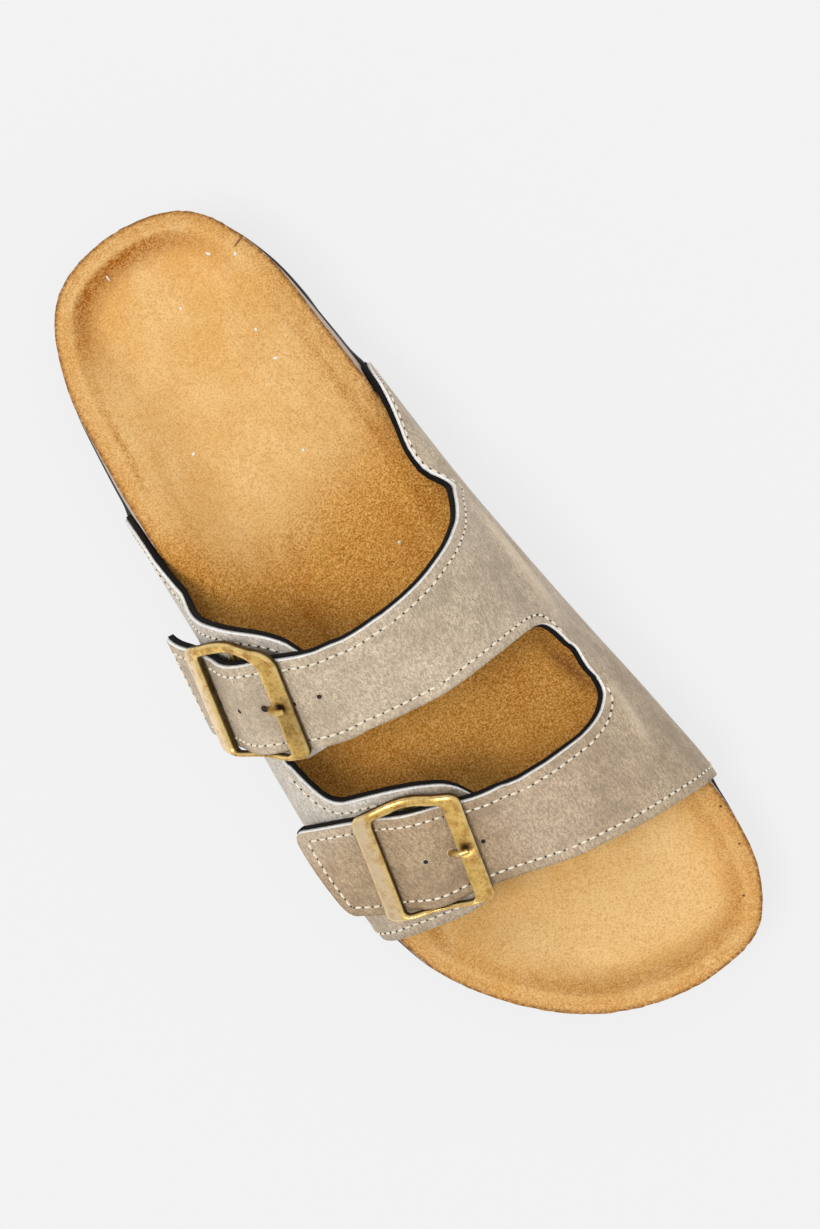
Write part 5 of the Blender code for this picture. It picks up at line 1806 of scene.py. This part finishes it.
def make_marks(lint, brown):
    """Lint in the suede, a nick across the heel's rim and small dots on the toe's rim."""
    fluff = Bits()
    rng = np.random.default_rng(LINT_SEED)
    rows = len(LINT_RADII)
    up = np.array([0.0, 0.0, 1.0])
    for across, station, turn, long in LINT:
        angle = math.radians(turn) + rng.normal(0.0, LINT_CURL, rows).cumsum()
        step = long / rows * np.stack([np.cos(angle), np.sin(angle)], axis=1)
        path = np.array([across, station]) + step.cumsum(axis=0)
        points = on_insole(path[:, 0], path[:, 1], LINT_ABOVE)
        side = np.cross(unit(np.gradient(points, axis=0)), up)
        rings = [points[k] + LINT_RADII[k] * circle(side[k], up, LINT_SIDES) for k in range(rows)]
        fluff.add(np.array(rings))
    fluff.piece("lint", "insole_suede", lint)
    marks = Bits()
    for across, station, turn, long, wide in MARKS:
        along = np.array([math.cos(math.radians(turn)), math.sin(math.radians(turn))])
        side = np.array([-along[1], along[0]])
        disc = np.array([across, station]) + circle(long / 2 * along, wide / 2 * side, MARK_SIDES)
        marks.add(np.array([on_insole(disc[:, 0], disc[:, 1], level) for level in MARK_LEVELS]))
    marks.piece("rim_marks", "insole_suede", brown)


# Studio: half size of the floor and how far it lies below the shoe, in metres; brightness of the sky at
# the horizon and overhead, and the soft key light.
FLOOR_HALF = 12.0
FLOOR_DROP = 0.0004
SKY_LOW = 0.54
SKY_HIGH = 0.78
KEY_ANGLE = 18.0
KEY_ENERGY = 1.35
KEY_TOWARDS = (0.34, -0.06, 1.0)


def make_studio():
    """Pale table and soft light."""
    mesh = bpy.data.meshes.new("studio_floor")
    corners = [(FLOOR_HALF * x, FLOOR_HALF * y, 0.0) for x, y in ((-1, -1), (1, -1), (1, 1), (-1, 1))]
    mesh.from_pydata(corners, [], [(0, 1, 2, 3)])
    mesh.materials.append(floor_look())
    floor = bpy.data.objects.new("studio_floor", mesh)
    floor.location.z = -FLOOR_DROP
    bpy.context.scene.collection.objects.link(floor)
    world = bpy.data.worlds.new("studio")
    world.use_nodes = True
    nodes, links = world.node_tree.nodes, world.node_tree.links
    place = nodes.new("ShaderNodeTexCoord")
    split = nodes.new("ShaderNodeSeparateXYZ")
    height = nodes.new("ShaderNodeMapRange")
    height.inputs["To Min"].default_value = SKY_LOW
    height.inputs["To Max"].default_value = SKY_HIGH
    links.new(place.outputs["Generated"], split.inputs["Vector"])
    links.new(split.outputs["Z"], height.inputs["Value"])
    links.new(height.outputs["Result"], nodes["Background"].inputs["Strength"])
    nodes["Background"].inputs["Color"].default_value = (1.0, 1.0, 1.0, 1.0)
    bpy.context.scene.world = world
    light = bpy.data.lights.new("soft_key", "SUN")
    light.angle = math.radians(KEY_ANGLE)
    light.energy = KEY_ENERGY
    key = bpy.data.objects.new("soft_key", light)
    key.rotation_euler = Vector(KEY_TOWARDS).to_track_quat("Z", "Y").to_euler()
    bpy.context.scene.collection.objects.link(key)
    bpy.context.scene.view_settings.view_transform = "Standard"


# The photo looks straight down; its long axis is turned against the shoe's.
PHOTO_WIDE = 820.0
PHOTO_HIGH = 1229.0
PIXELS_PER_MM = 3.403
SHOE_TURN = 55.0
HEEL_PIXEL = (107.35, 238.45)
RIM_PLANE = 33.0
CAMERA_HEIGHT = 1200.0
SENSOR = 36.0


def make_camera():
    """Camera over the shoe with the photo's turn and scale."""
    turn = math.radians(SHOE_TURN)
    right, down = math.cos(turn), math.sin(turn)
    dx = PHOTO_WIDE / 2 - HEEL_PIXEL[0]
    dy = PHOTO_HIGH / 2 - HEEL_PIXEL[1]
    station = (dx * right + dy * down) / PIXELS_PER_MM
    across = (-dx * down + dy * right) / PIXELS_PER_MM
    data = bpy.data.cameras.new("camera")
    data.sensor_width = SENSOR
    data.lens = PIXELS_PER_MM * CAMERA_HEIGHT / PHOTO_HIGH * SENSOR
    camera = bpy.data.objects.new("camera", data)
    bpy.context.scene.collection.objects.link(camera)
    pose = Matrix(((-down, -right, 0.0), (right, -down, 0.0), (0.0, 0.0, 1.0))).to_4x4()
    place = (across - CENTRE_ACROSS, station - CENTRE_STATION, RIM_PLANE + CAMERA_HEIGHT)
    pose.translation = Vector(place) * MM
    camera.matrix_world = pose
    bpy.context.scene.camera = camera


def main():
    """Make every piece of the shoe, then the studio and the camera."""
    seat_strap(BACK)
    seat_strap(FRONT)
    leather = leather_look("strap_leather", STRAP_TONES, STRAP_GRAIN)
    rough = leather_look("quarter_leather", QUARTER_LIT_TONES, QUARTER_GRAIN)
    raw = plain_look("raw_edge")
    cloth = plain_look("lining_cloth", shine=0.2)
    brass = brass_look()
    make_outsole(rubber_look())
    make_footbed(cork_look())
    make_insole(suede_look())
    panel = fork_faces(PANEL_BASE_ROWS, (PANEL_LEG_ROWS + SWING_ROWS,) * 2)
    make_layers("straps", panel_points, panel, leather, raw, cloth, ["upper"])
    quarter = fork_faces(QUARTER_BASE_ROWS, (TAB_ROWS,) * 2)
    make_layers("quarter", quarter_points, quarter, rough, raw, cloth, ["upper"])
    for name, strap, patina in (("back", BACK, BACK_PATINA), ("front", FRONT, FRONT_PATINA)):
        make_buckle("buckle_" + name, strap, patina, brass)
        make_prong("prong_" + name, strap, brass)
    dark = hole_look()
    make_stitches(seam_lines(), plain_look("thread"), dark)
    make_holes(leather, dark)
    make_marks(plain_look("lint"), plain_look("rim_mark"))
    make_studio()
    make_camera()


main()
